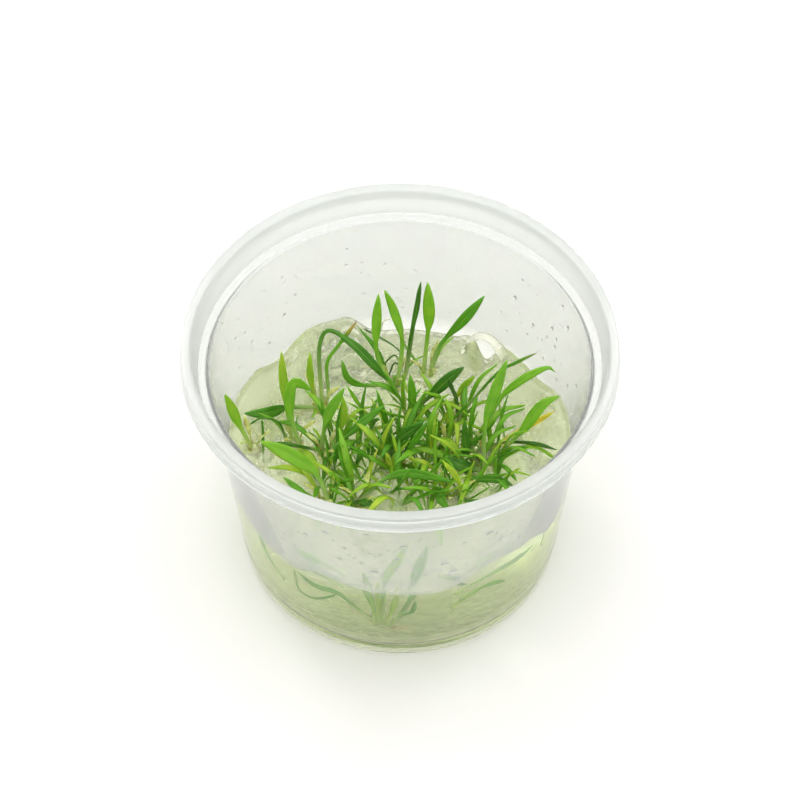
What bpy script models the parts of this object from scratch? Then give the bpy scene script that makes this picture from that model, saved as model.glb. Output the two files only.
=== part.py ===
"""Tissue-culture cup of dwarf cryptocoryne.

An open, tapered plastic cup holds a lumpy block of clear agar gel. Small rosette
plants stand in the gel, each one a short crown with ribbon leaves on thin stalks.
The origin is the centre of the cup's underside, +Z is up and the numbers below are
millimetres, turned into metres by MM.
"""

import math

import bmesh
import bpy
from mathutils import Matrix, Vector

MM = 0.001
GAP = 0.3  # clear space between pieces that touch

# Cup: outer radii and heights
CUP_HEIGHT = 70.0
FOOT_RADIUS = 38.3  # outside of the wall at the table
WALL_TOP_RADIUS = 44.5  # outside of the wall under the ledge
LEDGE_HEIGHT = 63.3  # top of the ledge that a lid's plug rests on
RIM_RADIUS = 50.0
RIM_FLAT_INNER = 47.6  # the flat ring on top of the lip
RIM_FLAT_OUTER = 49.3
COLLAR_TOP_RADIUS = 47.1  # inside of the collar above the ledge
COLLAR_FOOT_RADIUS = 46.0
WALL = 0.8
SKIRT_HEIGHT = 4.4
FLOOR_TOP = 2.2
FOOT_RING_WIDTH = 1.8
BEAD = 0.4  # how far the bead along the skirt's bottom stands out
CUP_STEPS = 36

# Gel: a block that follows the cup's inside, with a torn, uneven top
GEL_LEVEL = 28.0
GEL_STEPS = 36
GEL_RINGS = 8
CONTACT_HEIGHTS = (  # where the gel meets the wall: angle from +X in degrees, height
    (-180, 32.5),
    (-150, 31.0),
    (-130, 27.0),
    (-117, 30.5),
    (-95, 28.0),
    (-78, 27.5),
    (-58, 33.5),
    (-45, 32.5),
    (-30, 27.0),
    (-8, 31.0),
    (14, 33.5),
    (35, 29.0),
    (56, 30.5),
    (72, 26.5),
    (98, 26.5),
    (110, 33.0),
    (123, 33.8),
    (138, 30.0),
    (150, 33.5),
    (164, 34.5),
)
EDGE_START = 0.62  # share of the radius from which the top climbs to the wall
GEL_FOOT = ((7.4, 0.0), (4.6, 0.8), (3.0, 2.6), (2.5, 4.8))  # height, inset from the wall
LUMPS = (  # x, y, spread, rise
    (-24, 24, 7, 2.5),
    (-31, 12, 6, 1.5),
    (24, 20, 9, -1.2),
    (14, -22, 8, 1.2),
    (-6, -26, 9, -1.0),
    (30, -12, 7, 1.4),
    (-26, -18, 7, -0.8),
)
# A torn fold of gel that arches off the surface by the back wall
FOLD_PATH = (
    (16.2, 33.0, 25.5),
    (16.8, 33.6, 30.0),
    (19.0, 33.2, 33.6),
    (22.0, 31.4, 34.0),
    (24.8, 29.2, 31.0),
    (26.4, 27.6, 25.5),
)
FOLD_WIDTH = 2.4
FOLD_THICKNESS = 1.1
FOLD_STATIONS = 12

# Crowns: x, y, size, and the compass angle of the first of its small leaves. The
# profile is radius and height from the gel around the crown, at size 1.
CROWNS = (
    (-35.0, 0.2, 1.0, 240),
    (-25.4, 4.0, 1.2, 10),
    (-19.4, 15.4, 1.2, 130),
    (-1.2, 22.6, 1.3, 290),
    (6.8, 25.5, 1.0, 60),
    (2.9, 11.3, 1.0, 330),
    (14.0, 12.2, 1.2, 190),
    (20.2, -0.8, 1.7, 350),
    (-17.6, 0.6, 1.2, 290),
    (-17.6, -14.0, 1.2, 290),
    (-9.2, -13.7, 1.0, 190),
    (-1.6, -3.6, 1.5, 320),
    (11.2, 1.8, 1.0, 340),
    (12.6, -12.8, 1.4, 130),
)
CROWN_PROFILE = ((0.0, -4.4), (0.8, -4.0), (1.6, -2.4), (1.9, -0.9), (1.5, 0.1), (0.0, 0.5))
CROWN_STEPS = 8
POCKET_RISE = 6.0  # a pocket's cutter ends this far above the gel
SMALL_LEAVES = (  # turn from the crown's first one, length, blade width
    (0, 9.0, 1.5),
    (125, 7.0, 1.3),
    (235, 8.0, 1.6),
)
SMALL_LEAF_STATIONS = 6
SMALL_LEAF_STALK = 0.3  # share of the length
SMALL_LEAF_SINK = 0.6  # how deep its foot starts in the crown
SMALL_LEAF_REACH = 0.5  # how far out the tip lies, as a share of the length
SMALL_LEAF_RISE = 0.85

# Leaves: number of the crown, blade width, share of the length that is bare stalk,
# compass angle that the upper face looks to, the foot's x and y, and the points that
# the midrib passes through after it. A foot stands FOOT above its crown's gel.
FOOT = 1.4
LEAVES = (
    (1, 2.5, 0.30, -60, (-36.0, 0.2), ((-38.4, -0.2, 42), (-40.6, -0.6, 52))),
    (3, 2.8, 0.35, -90, (-21.2, 13.2), ((-26.8, 11.9, 31.4), (-32, 6.9, 35.6), (-37.2, 6.8, 35.4))),
    (2, 2.2, 0.30, -90, (-26.4, 6.4), ((-27.6, 11, 41), (-28, 14, 50))),
    (2, 2.9, 0.30, -70, (-24.2, 2.2), ((-26.2, 4.6, 40), (-25.2, 7.2, 46.5), (-20.8, 8.6, 42))),
    (3, 2.0, 0.35, -110, (-20.5, 15.2), ((-21.3, 15, 37), (-21.5, 16.8, 46))),
    (
        3,
        3.2,
        0.45,
        -60,
        (-19, 16.4),
        ((-19.4, 21, 42), (-17.2, 23.4, 46.5), (-11.4, 20.5, 45), (-6, 18, 39.5), (-3, 17.2, 35)),
    ),
    (3, 1.1, 0.60, -60, (-17.4, 17.4), ((-17.6, 20, 38), (-15, 22.2, 42), (-10.5, 25.6, 47))),
    (4, 1.8, 0.35, -90, (-4.6, 20.4), ((-9.5, 17.6, 33), (-12.6, 17, 36.5), (-14, 18.8, 41))),
    (4, 2.4, 0.45, -80, (-2.8, 21.4), ((-5.7, 22.8, 40), (-5.1, 26.7, 56))),
    (4, 2.3, 0.45, -80, (-0.4, 22.8), ((0.5, 25.6, 40), (-1.6, 28.4, 48), (-3.7, 29.7, 54))),
    (4, 1.6, 0.50, -20, (1.4, 24.2), ((2.8, 26, 42), (5, 30.6, 56))),
    (5, 3.0, 0.45, -90, (5.9, 26), ((6.8, 27.8, 41), (7, 29.2, 48), (6.6, 31.2, 55))),
    (5, 2.7, 0.40, -60, (7.7, 25.0), ((9.6, 26.4, 37), (14.9, 26.8, 46), (20.2, 28.7, 53))),
    (6, 2.9, 0.35, -110, (3, 11.8), ((7.7, 12.3, 36), (12.4, 13, 42), (15.2, 13.3, 45))),
    (7, 1.8, 0.30, -30, (14.2, 10.6), ((13.2, 9.4, 38), (11.4, 10.6, 44))),
    (8, 3.1, 0.40, -70, (20, -4), ((20.1, -0.4, 40), (22.2, 3.0, 49), (24.9, 6.4, 56))),
    (7, 0.9, 0.60, -90, (15.6, 12.8), ((23, 14.4, 41), (28, 14.6, 45.4), (32.3, 15.1, 48))),
    (
        8,
        2.0,
        0.40,
        -90,
        (19.7, 3.6),
        ((23.2, 7.4, 39), (28.3, 8.2, 46), (34.3, 8.9, 50), (36.4, 8.5, 49)),
    ),
    (7, 1.6, 0.35, -120, (12.6, 13.6), ((14.8, 15.4, 34), (18, 15.6, 39))),
    (10, 3.6, 0.35, -80, (-17.1, -13.8), ((-19.6, -12.4, 37), (-25, -11, 42), (-32.4, -8.9, 45))),
    (9, 1.0, 0.50, -90, (-20, 0.4), ((-24.1, -1.6, 33.6), (-29.2, -2.2, 36))),
    (10, 1.5, 0.35, -60, (-19.4, -14.8), ((-23.9, -13.1, 32), (-27.4, -11.1, 34))),
    (9, 2.5, 0.35, -120, (-18.6, 1.8), ((-17.2, 2.6, 39), (-13.1, 5.3, 47))),
    (9, 2.1, 0.35, -100, (-16.6, -0.2), ((-11.3, 1.1, 36), (-3.6, 4.2, 42))),
    (9, 1.9, 0.35, -70, (-15.9, 2.0), ((-13.4, 5, 36), (-13.7, 8, 41))),
    (6, 2.1, 0.30, -90, (2.2, 10.0), ((2.9, 11, 36), (2.4, 13.5, 42))),
    (12, 2.7, 0.35, -100, (-3.4, -2.2), ((-0.2, -1.4, 36), (5.7, -0.6, 42))),
    (12, 1.9, 0.35, -60, (0.2, -3.6), ((2.6, -4.2, 37), (6.4, -3.2, 45))),
    (12, 2.0, 0.30, -120, (-1.4, -5.4), ((-2, -6.3, 32), (-3.3, -5.4, 36))),
    (11, 2.4, 0.30, -90, (-8.9, -13.8), ((-3.5, -12.4, 35), (2.8, -12.9, 38), (12.4, -14.3, 36.4))),
    (14, 2.0, 0.30, -80, (13.6, -11.6), ((18.3, -11.4, 33.6), (23.4, -12.7, 35), (26.6, -12.9, 33))),
    (11, 1.6, 0.30, -90, (-10.4, -14.8), ((-8.6, -16.6, 31.4), (-4.9, -17.2, 31.6))),
    (14, 2.4, 0.30, -90, (11.4, -12.6), ((9.4, -15.6, 32.6), (11.4, -18.6, 31))),
    (14, 1.5, 0.30, -110, (14.2, -13.8), ((13.6, -12.6, 35), (9.8, -11.4, 41))),
    (8, 2.8, 0.35, -110, (23.2, -1.2), ((28.9, 0.4, 37), (33.4, 2.1, 44.6), (37.4, 2.9, 47))),
    (8, 1.6, 0.35, -80, (22.6, 1.4), ((28, 4.6, 31), (32.8, 6.2, 33.4), (36.6, 6, 37))),
    (8, 1.0, 0.50, -90, (20.6, 1.4), ((26.1, 0.8, 32), (31.9, -1.6, 34.6), (37.2, -3.4, 34.4))),
    (8, 1.2, 0.40, -90, (22.4, -3.6), ((25.1, -6.9, 32), (27.6, -10.0, 31))),
    (8, 2.2, 0.30, -70, (17.4, -3.0), ((15.4, -2.2, 36), (15.2, -0.6, 42))),
    (13, 1.4, 0.40, -120, (11.2, 1.8), ((12.2, 3.0, 38), (10.8, 5.5, 43))),
    (8, 1.6, 0.40, -50, (17.2, 1.8), ((16.8, 3, 38), (18.2, 5.4, 44))),
    (8, 3.0, 0.20, -60, (18.2, -5.4), ((14.6, -6.4, 32.4), (10.6, -4.6, 33.4))),
)
STALK_WIDTH = 0.9
STALK_THICKNESS = 0.9
BLADE_THICKNESS = 0.45
TIP_WIDTH = 0.16
CHANNEL = 0.22  # how far the blade's edges rise, as a share of its half width
LEAF_STATIONS = 10
CURVE_STEPS = 12  # between two points of a midrib


def smooth_step(low, high, value):
    share = min(max((value - low) / (high - low), 0.0), 1.0)
    return share * share * (3.0 - 2.0 * share)


def make_material(name, colour, roughness, transmission=0.0):
    material = bpy.data.materials.new(name)
    material.use_nodes = True
    shader = material.node_tree.nodes["Principled BSDF"]
    shader.inputs["Base Color"].default_value = (*colour, 1.0)
    shader.inputs["Roughness"].default_value = roughness
    shader.inputs["Metallic"].default_value = 0.0
    shader.inputs["Transmission Weight"].default_value = transmission
    material.diffuse_color = (*colour, 1.0)
    return material


def add_object(name, mesh_data, material):
    """Turns a bmesh in millimetres into a named object in metres."""
    bmesh.ops.recalc_face_normals(mesh_data, faces=mesh_data.faces)
    bmesh.ops.transform(mesh_data, matrix=Matrix.Scale(MM, 4), verts=mesh_data.verts)
    mesh = bpy.data.meshes.new(name)
    mesh_data.to_mesh(mesh)
    mesh_data.free()
    mesh.materials.append(material)
    mesh.shade_smooth()
    mesh.set_sharp_from_angle(angle=math.radians(40))
    made = bpy.data.objects.new(name, mesh)
    bpy.context.collection.objects.link(made)
    return made


def turned(profile, steps, centre=(0.0, 0.0), closed=False):
    """Revolves a profile of (radius, height) about a vertical axis."""
    mesh_data = bmesh.new()
    rings = []
    for radius, height in profile:
        if radius < 1e-6:
            rings.append([mesh_data.verts.new((centre[0], centre[1], height))])
            continue
        ring = []
        for step in range(steps):
            angle = 2.0 * math.pi * step / steps
            place = (centre[0] + radius * math.cos(angle), centre[1] + radius * math.sin(angle), height)
            ring.append(mesh_data.verts.new(place))
        rings.append(ring)
    pairs = list(zip(rings, rings[1:]))
    if closed:
        pairs.append((rings[-1], rings[0]))
    for lower, upper in pairs:
        for step in range(steps):
            after = (step + 1) % steps
            corners = [lower[step % len(lower)], lower[after % len(lower)]]
            corners += [upper[after % len(upper)], upper[step % len(upper)]]
            corners = list(dict.fromkeys(corners))
            if len(corners) > 2:
                mesh_data.faces.new(corners)
    return mesh_data


def wall_radius(height, inset=0.0):
    """Outer radius of the tapered wall at a height, less an inset."""
    return FOOT_RADIUS + (WALL_TOP_RADIUS - FOOT_RADIUS) * height / LEDGE_HEIGHT - inset


def cup_profile():
    """The cup's cut outline: up the outside, over the lip, down the inside, back under."""
    under_ledge = LEDGE_HEIGHT - WALL
    under_floor = FLOOR_TOP - WALL
    foot_inside = FOOT_RADIUS - FOOT_RING_WIDTH
    skirt_bottom = CUP_HEIGHT - SKIRT_HEIGHT
    skirt_radius = RIM_RADIUS - BEAD
    outside = [
        (foot_inside, 0.0),
        (FOOT_RADIUS - 0.5, 0.0),
        (wall_radius(0.5), 0.5),
        (wall_radius(under_ledge), under_ledge),
        (COLLAR_FOOT_RADIUS + WALL, under_ledge),
        (COLLAR_TOP_RADIUS + WALL, CUP_HEIGHT - WALL),
        (skirt_radius - WALL, CUP_HEIGHT - WALL),
        (skirt_radius - WALL, skirt_bottom),
        (RIM_RADIUS - 0.2, skirt_bottom),
        (RIM_RADIUS, skirt_bottom + 0.3),
        (RIM_RADIUS, skirt_bottom + 1.0),
        (skirt_radius, skirt_bottom + 1.5),
        (skirt_radius, CUP_HEIGHT - 0.5),
        (RIM_FLAT_OUTER, CUP_HEIGHT),
    ]
    inside = [
        (RIM_FLAT_INNER, CUP_HEIGHT),
        (COLLAR_TOP_RADIUS, CUP_HEIGHT - 0.4),
        (COLLAR_FOOT_RADIUS, LEDGE_HEIGHT + 0.4),
        (COLLAR_FOOT_RADIUS - 0.4, LEDGE_HEIGHT),
        (wall_radius(LEDGE_HEIGHT, WALL), LEDGE_HEIGHT),
        (wall_radius(LEDGE_HEIGHT - 1.0, WALL), LEDGE_HEIGHT - 1.0),
        (wall_radius(7.0, WALL), 7.0),
        (wall_radius(4.0, WALL + 0.7), 4.2),
        (wall_radius(3.0, WALL + 2.4), FLOOR_TOP + 0.4),
        (wall_radius(2.0, WALL + 4.6), FLOOR_TOP),
        (0.0, FLOOR_TOP),
    ]
    underside = [(0.0, under_floor), (foot_inside - 1.2, under_floor)]
    return outside + inside + underside


def make_cup(material):
    return add_object("cup", turned(cup_profile(), CUP_STEPS, closed=True), material)


def contact_height(angle):
    """Height of the gel on the wall, eased between the listed angles."""
    degrees = (math.degrees(angle) + 180.0) % 360.0 - 180.0
    first_angle, first_height = CONTACT_HEIGHTS[0]
    marks = (*CONTACT_HEIGHTS, (first_angle + 360, first_height))
    spans = zip(marks, marks[1:])
    (start, low), (end, high) = next(span for span in spans if degrees <= span[1][0])
    return low + (high - low) * smooth_step(start, end, degrees)


def gel_top(angle, share):
    """Height of the gel's top at an angle and a share of the way out to the wall."""
    edge = contact_height(angle)
    level = GEL_LEVEL + (edge - GEL_LEVEL) * smooth_step(EDGE_START, 1.0, share)
    reach = wall_radius(GEL_LEVEL, WALL) * share
    x, y = reach * math.cos(angle), reach * math.sin(angle)
    fade = 1.0 - smooth_step(0.85, 1.0, share)
    for lump_x, lump_y, spread, rise in LUMPS:
        distance = math.hypot(x - lump_x, y - lump_y) / spread
        level += rise * math.exp(-distance * distance) * fade
    return level


def gel_height(x, y):
    """Height of the gel's top under a point."""
    share = math.hypot(x, y) / wall_radius(GEL_LEVEL, WALL)
    return gel_top(math.atan2(y, x), share)


def gel_block():
    """The gel without its pockets and its fold."""
    mesh_data = bmesh.new()
    inset = WALL + GAP
    angles = [2.0 * math.pi * step / GEL_STEPS for step in range(GEL_STEPS)]
    centre = mesh_data.verts.new((0.0, 0.0, gel_top(0.0, 0.0)))
    rings = []
    for ring in range(1, GEL_RINGS + 1):
        share = math.sin(0.5 * math.pi * ring / GEL_RINGS)
        row = []
        for angle in angles:
            height = gel_top(angle, share)
            radius = wall_radius(height, inset) * share
            row.append(mesh_data.verts.new((radius * math.cos(angle), radius * math.sin(angle), height)))
        rings.append(row)
    for height, more in GEL_FOOT:
        radius = wall_radius(height, inset + more)
        row = [mesh_data.verts.new((radius * math.cos(a), radius * math.sin(a), height)) for a in angles]
        rings.append(row)
    bottom = mesh_data.verts.new((0.0, 0.0, GEL_FOOT[-1][0]))
    for step in range(GEL_STEPS):
        after = (step + 1) % GEL_STEPS
        mesh_data.faces.new((centre, rings[0][step], rings[0][after]))
        mesh_data.faces.new((bottom, rings[-1][after], rings[-1][step]))
        for inner, outer in zip(rings, rings[1:]):
            mesh_data.faces.new((inner[step], outer[step], outer[after], inner[after]))
    return mesh_data


def sweep_points(points, count):
    """Evenly spaced places on a smooth curve through the points."""
    knots = [Vector(point) for point in points]
    ends = [2 * knots[0] - knots[1]] + knots + [2 * knots[-1] - knots[-2]]
    fine = []
    for index in range(len(knots) - 1):
        before, start, end, after = ends[index : index + 4]
        for step in range(CURVE_STEPS):
            t = step / CURVE_STEPS
            place = 0.5 * (
                2 * start
                + (end - before) * t
                + (2 * before - 5 * start + 4 * end - after) * t**2
                + (3 * start - before - 3 * end + after) * t**3
            )
            fine.append(place)
    fine.append(knots[-1])
    lengths = [0.0]
    for one, other in zip(fine, fine[1:]):
        lengths.append(lengths[-1] + (other - one).length)
    stations = []
    index = 0
    for step in range(count):
        target = lengths[-1] * step / (count - 1)
        while index < len(fine) - 2 and lengths[index + 1] < target:
            index += 1
        share = (target - lengths[index]) / (lengths[index + 1] - lengths[index])
        stations.append(fine[index].lerp(fine[index + 1], share))
    return stations


def directions(stations):
    found = []
    for index in range(len(stations)):
        ahead = stations[min(index + 1, len(stations) - 1)]
        behind = stations[max(index - 1, 0)]
        found.append((ahead - behind).normalized())
    return found


def skin_sections(sections, mesh_data):
    """Adds a row of equal loops, closed into one body with flat ends."""
    rings = [[mesh_data.verts.new(place) for place in section] for section in sections]
    count = len(rings[0])
    for lower, upper in zip(rings, rings[1:]):
        for index in range(count):
            after = (index + 1) % count
            mesh_data.faces.new((lower[index], lower[after], upper[after], upper[index]))
    for ring in (rings[0], rings[-1]):
        mesh_data.faces.new((ring[0], ring[1], ring[3]))
        mesh_data.faces.new((ring[1], ring[2], ring[3]))
    return mesh_data


def leaf_half_width(share, width, stalk):
    """Half the width at a share of the length: a thin stalk, then a lance-shaped blade."""
    blade = max(share - stalk, 0.0) / (1.0 - stalk)
    lance = math.sin(math.pi * blade**0.8) ** 0.85 if 0.0 < blade < 1.0 else 0.0
    tip = TIP_WIDTH + (STALK_WIDTH - TIP_WIDTH) * (1.0 - smooth_step(0.7, 1.0, share))
    narrow = min(tip, 0.8 * width)
    return 0.5 * max(narrow, width * lance)


def add_leaf(mesh_data, width, stalk, face_angle, points, count):
    stations = sweep_points(points, count)
    ways = directions(stations)
    turn = math.radians(face_angle)
    looks_to = Vector((math.cos(turn), math.sin(turn), 0.8))
    sections = []
    for index, (place, way) in enumerate(zip(stations, ways)):
        share = index / (count - 1)
        face = (looks_to - way * looks_to.dot(way)).normalized()
        side = way.cross(face)
        half = leaf_half_width(share, width, stalk)
        bladed = smooth_step(0.5 * STALK_WIDTH, 0.5 * width, half) if width > STALK_WIDTH else 0.0
        thick = STALK_THICKNESS + (BLADE_THICKNESS - STALK_THICKNESS) * bladed
        thick = min(thick, 2.0 * half)
        lift = CHANNEL * half * bladed
        sections.append(
            (
                place - side * half + face * lift,
                place + face * 0.5 * thick,
                place + side * half + face * lift,
                place - face * 0.5 * thick,
            )
        )
    return skin_sections(sections, mesh_data)


def fold_body():
    """The torn arch of gel: a flat strip bent over, its ends sunk in the block."""
    stations = sweep_points(FOLD_PATH, FOLD_STATIONS)
    ways = directions(stations)
    sections = []
    for place, way in zip(stations, ways):
        outward = Vector((place.x, place.y, 0.0)).normalized()
        across = (outward - way * outward.dot(way)).normalized()
        face = way.cross(across)
        sections.append(
            (
                place - across * 0.5 * FOLD_WIDTH,
                place + face * 0.5 * FOLD_THICKNESS,
                place + across * 0.5 * FOLD_WIDTH,
                place - face * 0.5 * FOLD_THICKNESS,
            )
        )
    return skin_sections(sections, bmesh.new())


def crown_profile(size, level):
    return [(radius * size, level + height) for radius, height in CROWN_PROFILE]


def pocket_profile(size, level):
    """The crown's shape grown by the gap and carried up out of the gel."""
    grown = [(radius * size + GAP, level + height) for radius, height in CROWN_PROFILE[1:-1]]
    bottom = level + CROWN_PROFILE[0][1] - GAP
    mouth = grown[-1][0] + GAP
    above = level + POCKET_RISE
    closing = [(mouth, grown[-1][1]), (mouth, above), (0.0, above)]
    return [(0.0, bottom), (grown[0][0], bottom + GAP)] + grown[1:-1] + closing


def combine(base, other, operation):
    modifier = base.modifiers.new(operation.lower(), "BOOLEAN")
    modifier.object = other
    modifier.operation = operation
    other.hide_render = True
    other.display_type = "WIRE"


def make_gel(material):
    gel = add_object("gel", gel_block(), material)
    fold = add_object("guide_fold", fold_body(), material)
    combine(gel, fold, "UNION")
    for number, (x, y, size, _) in enumerate(CROWNS, 1):
        profile = pocket_profile(size, gel_height(x, y))
        cutter = add_object(f"guide_pocket_{number:02d}", turned(profile, CROWN_STEPS, (x, y)), material)
        combine(gel, cutter, "DIFFERENCE")
    return gel


def small_leaves(x, y, size, first_angle, level):
    """The short leaves that spring from one crown, bent outwards."""
    mesh_data = bmesh.new()
    for turn, length, width in SMALL_LEAVES:
        angle = math.radians(first_angle + turn)
        outward = Vector((math.cos(angle), math.sin(angle), 0.0))
        upward = Vector((0.0, 0.0, SMALL_LEAF_RISE))
        foot = Vector((x, y, level - SMALL_LEAF_SINK)) + outward * 0.8 * size
        tip = foot + (outward * SMALL_LEAF_REACH + upward) * length
        middle = foot + (outward * SMALL_LEAF_REACH / 3.0 + upward * 0.6) * length
        facing = math.degrees(angle) + 180.0
        midrib = (foot, middle, tip)
        add_leaf(mesh_data, width, SMALL_LEAF_STALK, facing, midrib, SMALL_LEAF_STATIONS)
    return mesh_data


def make_crowns(material):
    for number, (x, y, size, first_angle) in enumerate(CROWNS, 1):
        level = gel_height(x, y)
        core = turned(crown_profile(size, level), CROWN_STEPS, (x, y))
        crown = add_object(f"crown_{number:02d}", core, material)
        leaves = small_leaves(x, y, size, first_angle, level)
        combine(crown, add_object(f"guide_leaves_{number:02d}", leaves, material), "UNION")


def make_leaves(material):
    for number, (crown, width, stalk, face_angle, foot, points) in enumerate(LEAVES, 1):
        level = gel_height(*CROWNS[crown - 1][:2])
        midrib = ((*foot, level + FOOT), *points)
        body = add_leaf(bmesh.new(), width, stalk, face_angle, midrib, LEAF_STATIONS)
        add_object(f"leaf_{number:02d}", body, material)


def main():
    for old in list(bpy.data.objects):
        bpy.data.objects.remove(old, do_unlink=True)
    make_cup(make_material("cup_plastic", (0.86, 0.88, 0.88), 0.25, 0.6))
    make_gel(make_material("agar_gel", (0.78, 0.82, 0.62), 0.08, 0.9))
    make_crowns(make_material("crown_tissue", (0.56, 0.60, 0.25), 0.5))
    make_leaves(make_material("leaf_green", (0.12, 0.36, 0.04), 0.4))


main()
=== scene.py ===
"""The looks of a tissue-culture cup of dwarf cryptocoryne.

A clear plastic cup holds agar gel, and rosettes of ribbon leaves stand in the gel.
Sizes are millimetres, turned into metres by MM. The origin is the centre of the cup's
underside and +Z is up.
"""

import math
import random

import bmesh
import bpy
from mathutils import Matrix, Vector, noise


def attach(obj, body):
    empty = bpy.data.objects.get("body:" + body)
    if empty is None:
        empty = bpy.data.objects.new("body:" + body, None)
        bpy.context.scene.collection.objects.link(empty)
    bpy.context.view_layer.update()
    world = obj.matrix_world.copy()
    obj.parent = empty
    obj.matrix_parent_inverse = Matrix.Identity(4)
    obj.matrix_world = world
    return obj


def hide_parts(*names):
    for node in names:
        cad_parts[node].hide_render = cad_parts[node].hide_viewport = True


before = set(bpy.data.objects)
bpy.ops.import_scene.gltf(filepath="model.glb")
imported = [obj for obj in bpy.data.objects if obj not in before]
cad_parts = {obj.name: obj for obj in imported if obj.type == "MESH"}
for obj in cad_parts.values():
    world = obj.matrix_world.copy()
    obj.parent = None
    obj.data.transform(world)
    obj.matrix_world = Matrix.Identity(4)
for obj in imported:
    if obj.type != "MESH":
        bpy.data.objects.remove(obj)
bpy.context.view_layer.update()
BODY = "root"
MM = 0.001

# Camera: a steep look down into the cup from in front
VIEW_ELEVATION = 51.31  # degrees above the table
VIEW_DISTANCE = 600.0
VIEW_HEIGHT = 49.1  # the point on the cup's axis that it looks at
LENS = 115.97  # on a sensor 36 mm wide
SENSOR = 36.0
LIGHT_BOUNCES = 32  # light crosses many faces of plastic and gel

# Cup: outer radii and heights
CUP_HEIGHT = 70.0
FOOT_RADIUS = 38.3
WALL_TOP_RADIUS = 44.5
LEDGE_HEIGHT = 63.3
RIM_RADIUS = 50.0
COLLAR_TOP_RADIUS = 47.1
COLLAR_FOOT_RADIUS = 46.0
WALL = 0.8
SKIRT_HEIGHT = 4.4
FLOOR_TOP = 2.2
FLOOR_FILLET = 5.6
FOOT_RING_WIDTH = 1.8
BEAD = 0.4
RING_HEIGHT = 7.5  # a fine moulded ring round the wall
RING_HALF = 0.5  # above and below its middle
RING_PROUD = 0.15
CUP_STEPS = 192
CORNER_STEPS = 5

# Gel
GEL_LEVEL = 28.0
GEL_STEPS = 384
GEL_RINGS = 120
GEL_FILM = 0.1  # air between the gel and the wall at the back, where it has shrunk away
GEL_GRIP = -0.1  # elsewhere the gel wets the plastic, so its skin lies inside it
CONTACT_HEIGHTS = (  # where the gel meets the wall: angle from +X in degrees, height
    (-180, 32.5), (-150, 31.0), (-130, 27.0), (-117, 30.5), (-95, 28.0), (-78, 27.5), (-58, 33.5),
    (-45, 32.5), (-30, 27.0), (-8, 31.0), (14, 33.5), (35, 29.0), (51, 30.0), (57.5, 22.8),
    (64, 28.5), (72, 26.5), (98, 26.5), (110, 33.0), (123, 33.8), (138, 30.0), (150, 33.5), (164, 34.5),
)
EDGE_START = 0.62
LUMPS = (  # x, y, spread, rise
    (-24, 24, 7, 2.5), (-31, 12, 6, 1.5), (24, 20, 9, -1.2), (14, -22, 8, 1.2),
    (-6, -26, 9, -1.0), (30, -12, 7, 1.4), (-26, -18, 7, -0.8), (20.4, 32.2, 3.0, -5.0),
)
SMOOTH_PATCHES = ((22, 24, 13), (2, 31, 8), (32, -2, 10), (-34, 14, 6))  # x, y, spread
CHUNK = 5.5  # width of the torn lumps
CHUNK_RISE = 3.0
CREASE = 0.8  # depth of the creases between them
BEND = 1.6  # how far the lumps are pulled out of their cells
BEND_WIDTH = 5.0
WAVE_WIDTH = 8.0
CRUMB = 1.9  # width of the small facets on them
CRUMB_RISE = 0.5
MENISCUS = 0.9
FOLD_PATH = (
    (15.6, 32.6, 25.0), (16.4, 33.4, 29.4), (18.8, 33.4, 32.4),
    (22.4, 31.4, 33.4), (25.6, 28.8, 30.2), (27.6, 27.0, 25.5),
)
FOLD_WIDTH = 2.8
FOLD_THICKNESS = 1.1
FOLD_STATIONS = 40
FOLD_SIDES = 12

# Crowns: x, y, size, and the compass angle of the first of its small leaves
CROWNS = (
    (-35.0, 0.2, 1.0, 240), (-25.4, 4.0, 1.2, 10), (-19.4, 15.4, 1.2, 130), (-1.2, 22.6, 1.3, 290),
    (6.8, 25.5, 1.0, 60), (2.9, 11.3, 1.0, 330), (14.0, 12.2, 1.2, 190), (20.2, -0.8, 1.7, 350),
    (-17.6, 0.6, 1.2, 290), (-17.6, -14.0, 1.2, 290), (-9.2, -13.7, 1.0, 190),
    (-1.6, -3.6, 1.5, 320), (11.2, 1.8, 1.0, 340), (12.6, -12.8, 1.4, 130),
)
CROWN_PROFILE = ((0.0, -4.4), (0.8, -4.0), (1.6, -2.4), (1.9, -0.9), (1.5, 0.1), (0.0, 0.5))
CROWN_STEPS = 20
CROWN_LUMP = 0.22
CROWN_LUMP_WIDTH = 0.9
SMALL_LEAVES = ((0, 9.0, 1.5), (125, 7.0, 1.3), (235, 8.0, 1.6))  # turn, length, blade width
SMALL_LEAF_STALK = 0.3
SMALL_LEAF_SINK = 0.6
SMALL_LEAF_REACH = 0.5
SMALL_LEAF_RISE = 0.85

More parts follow.
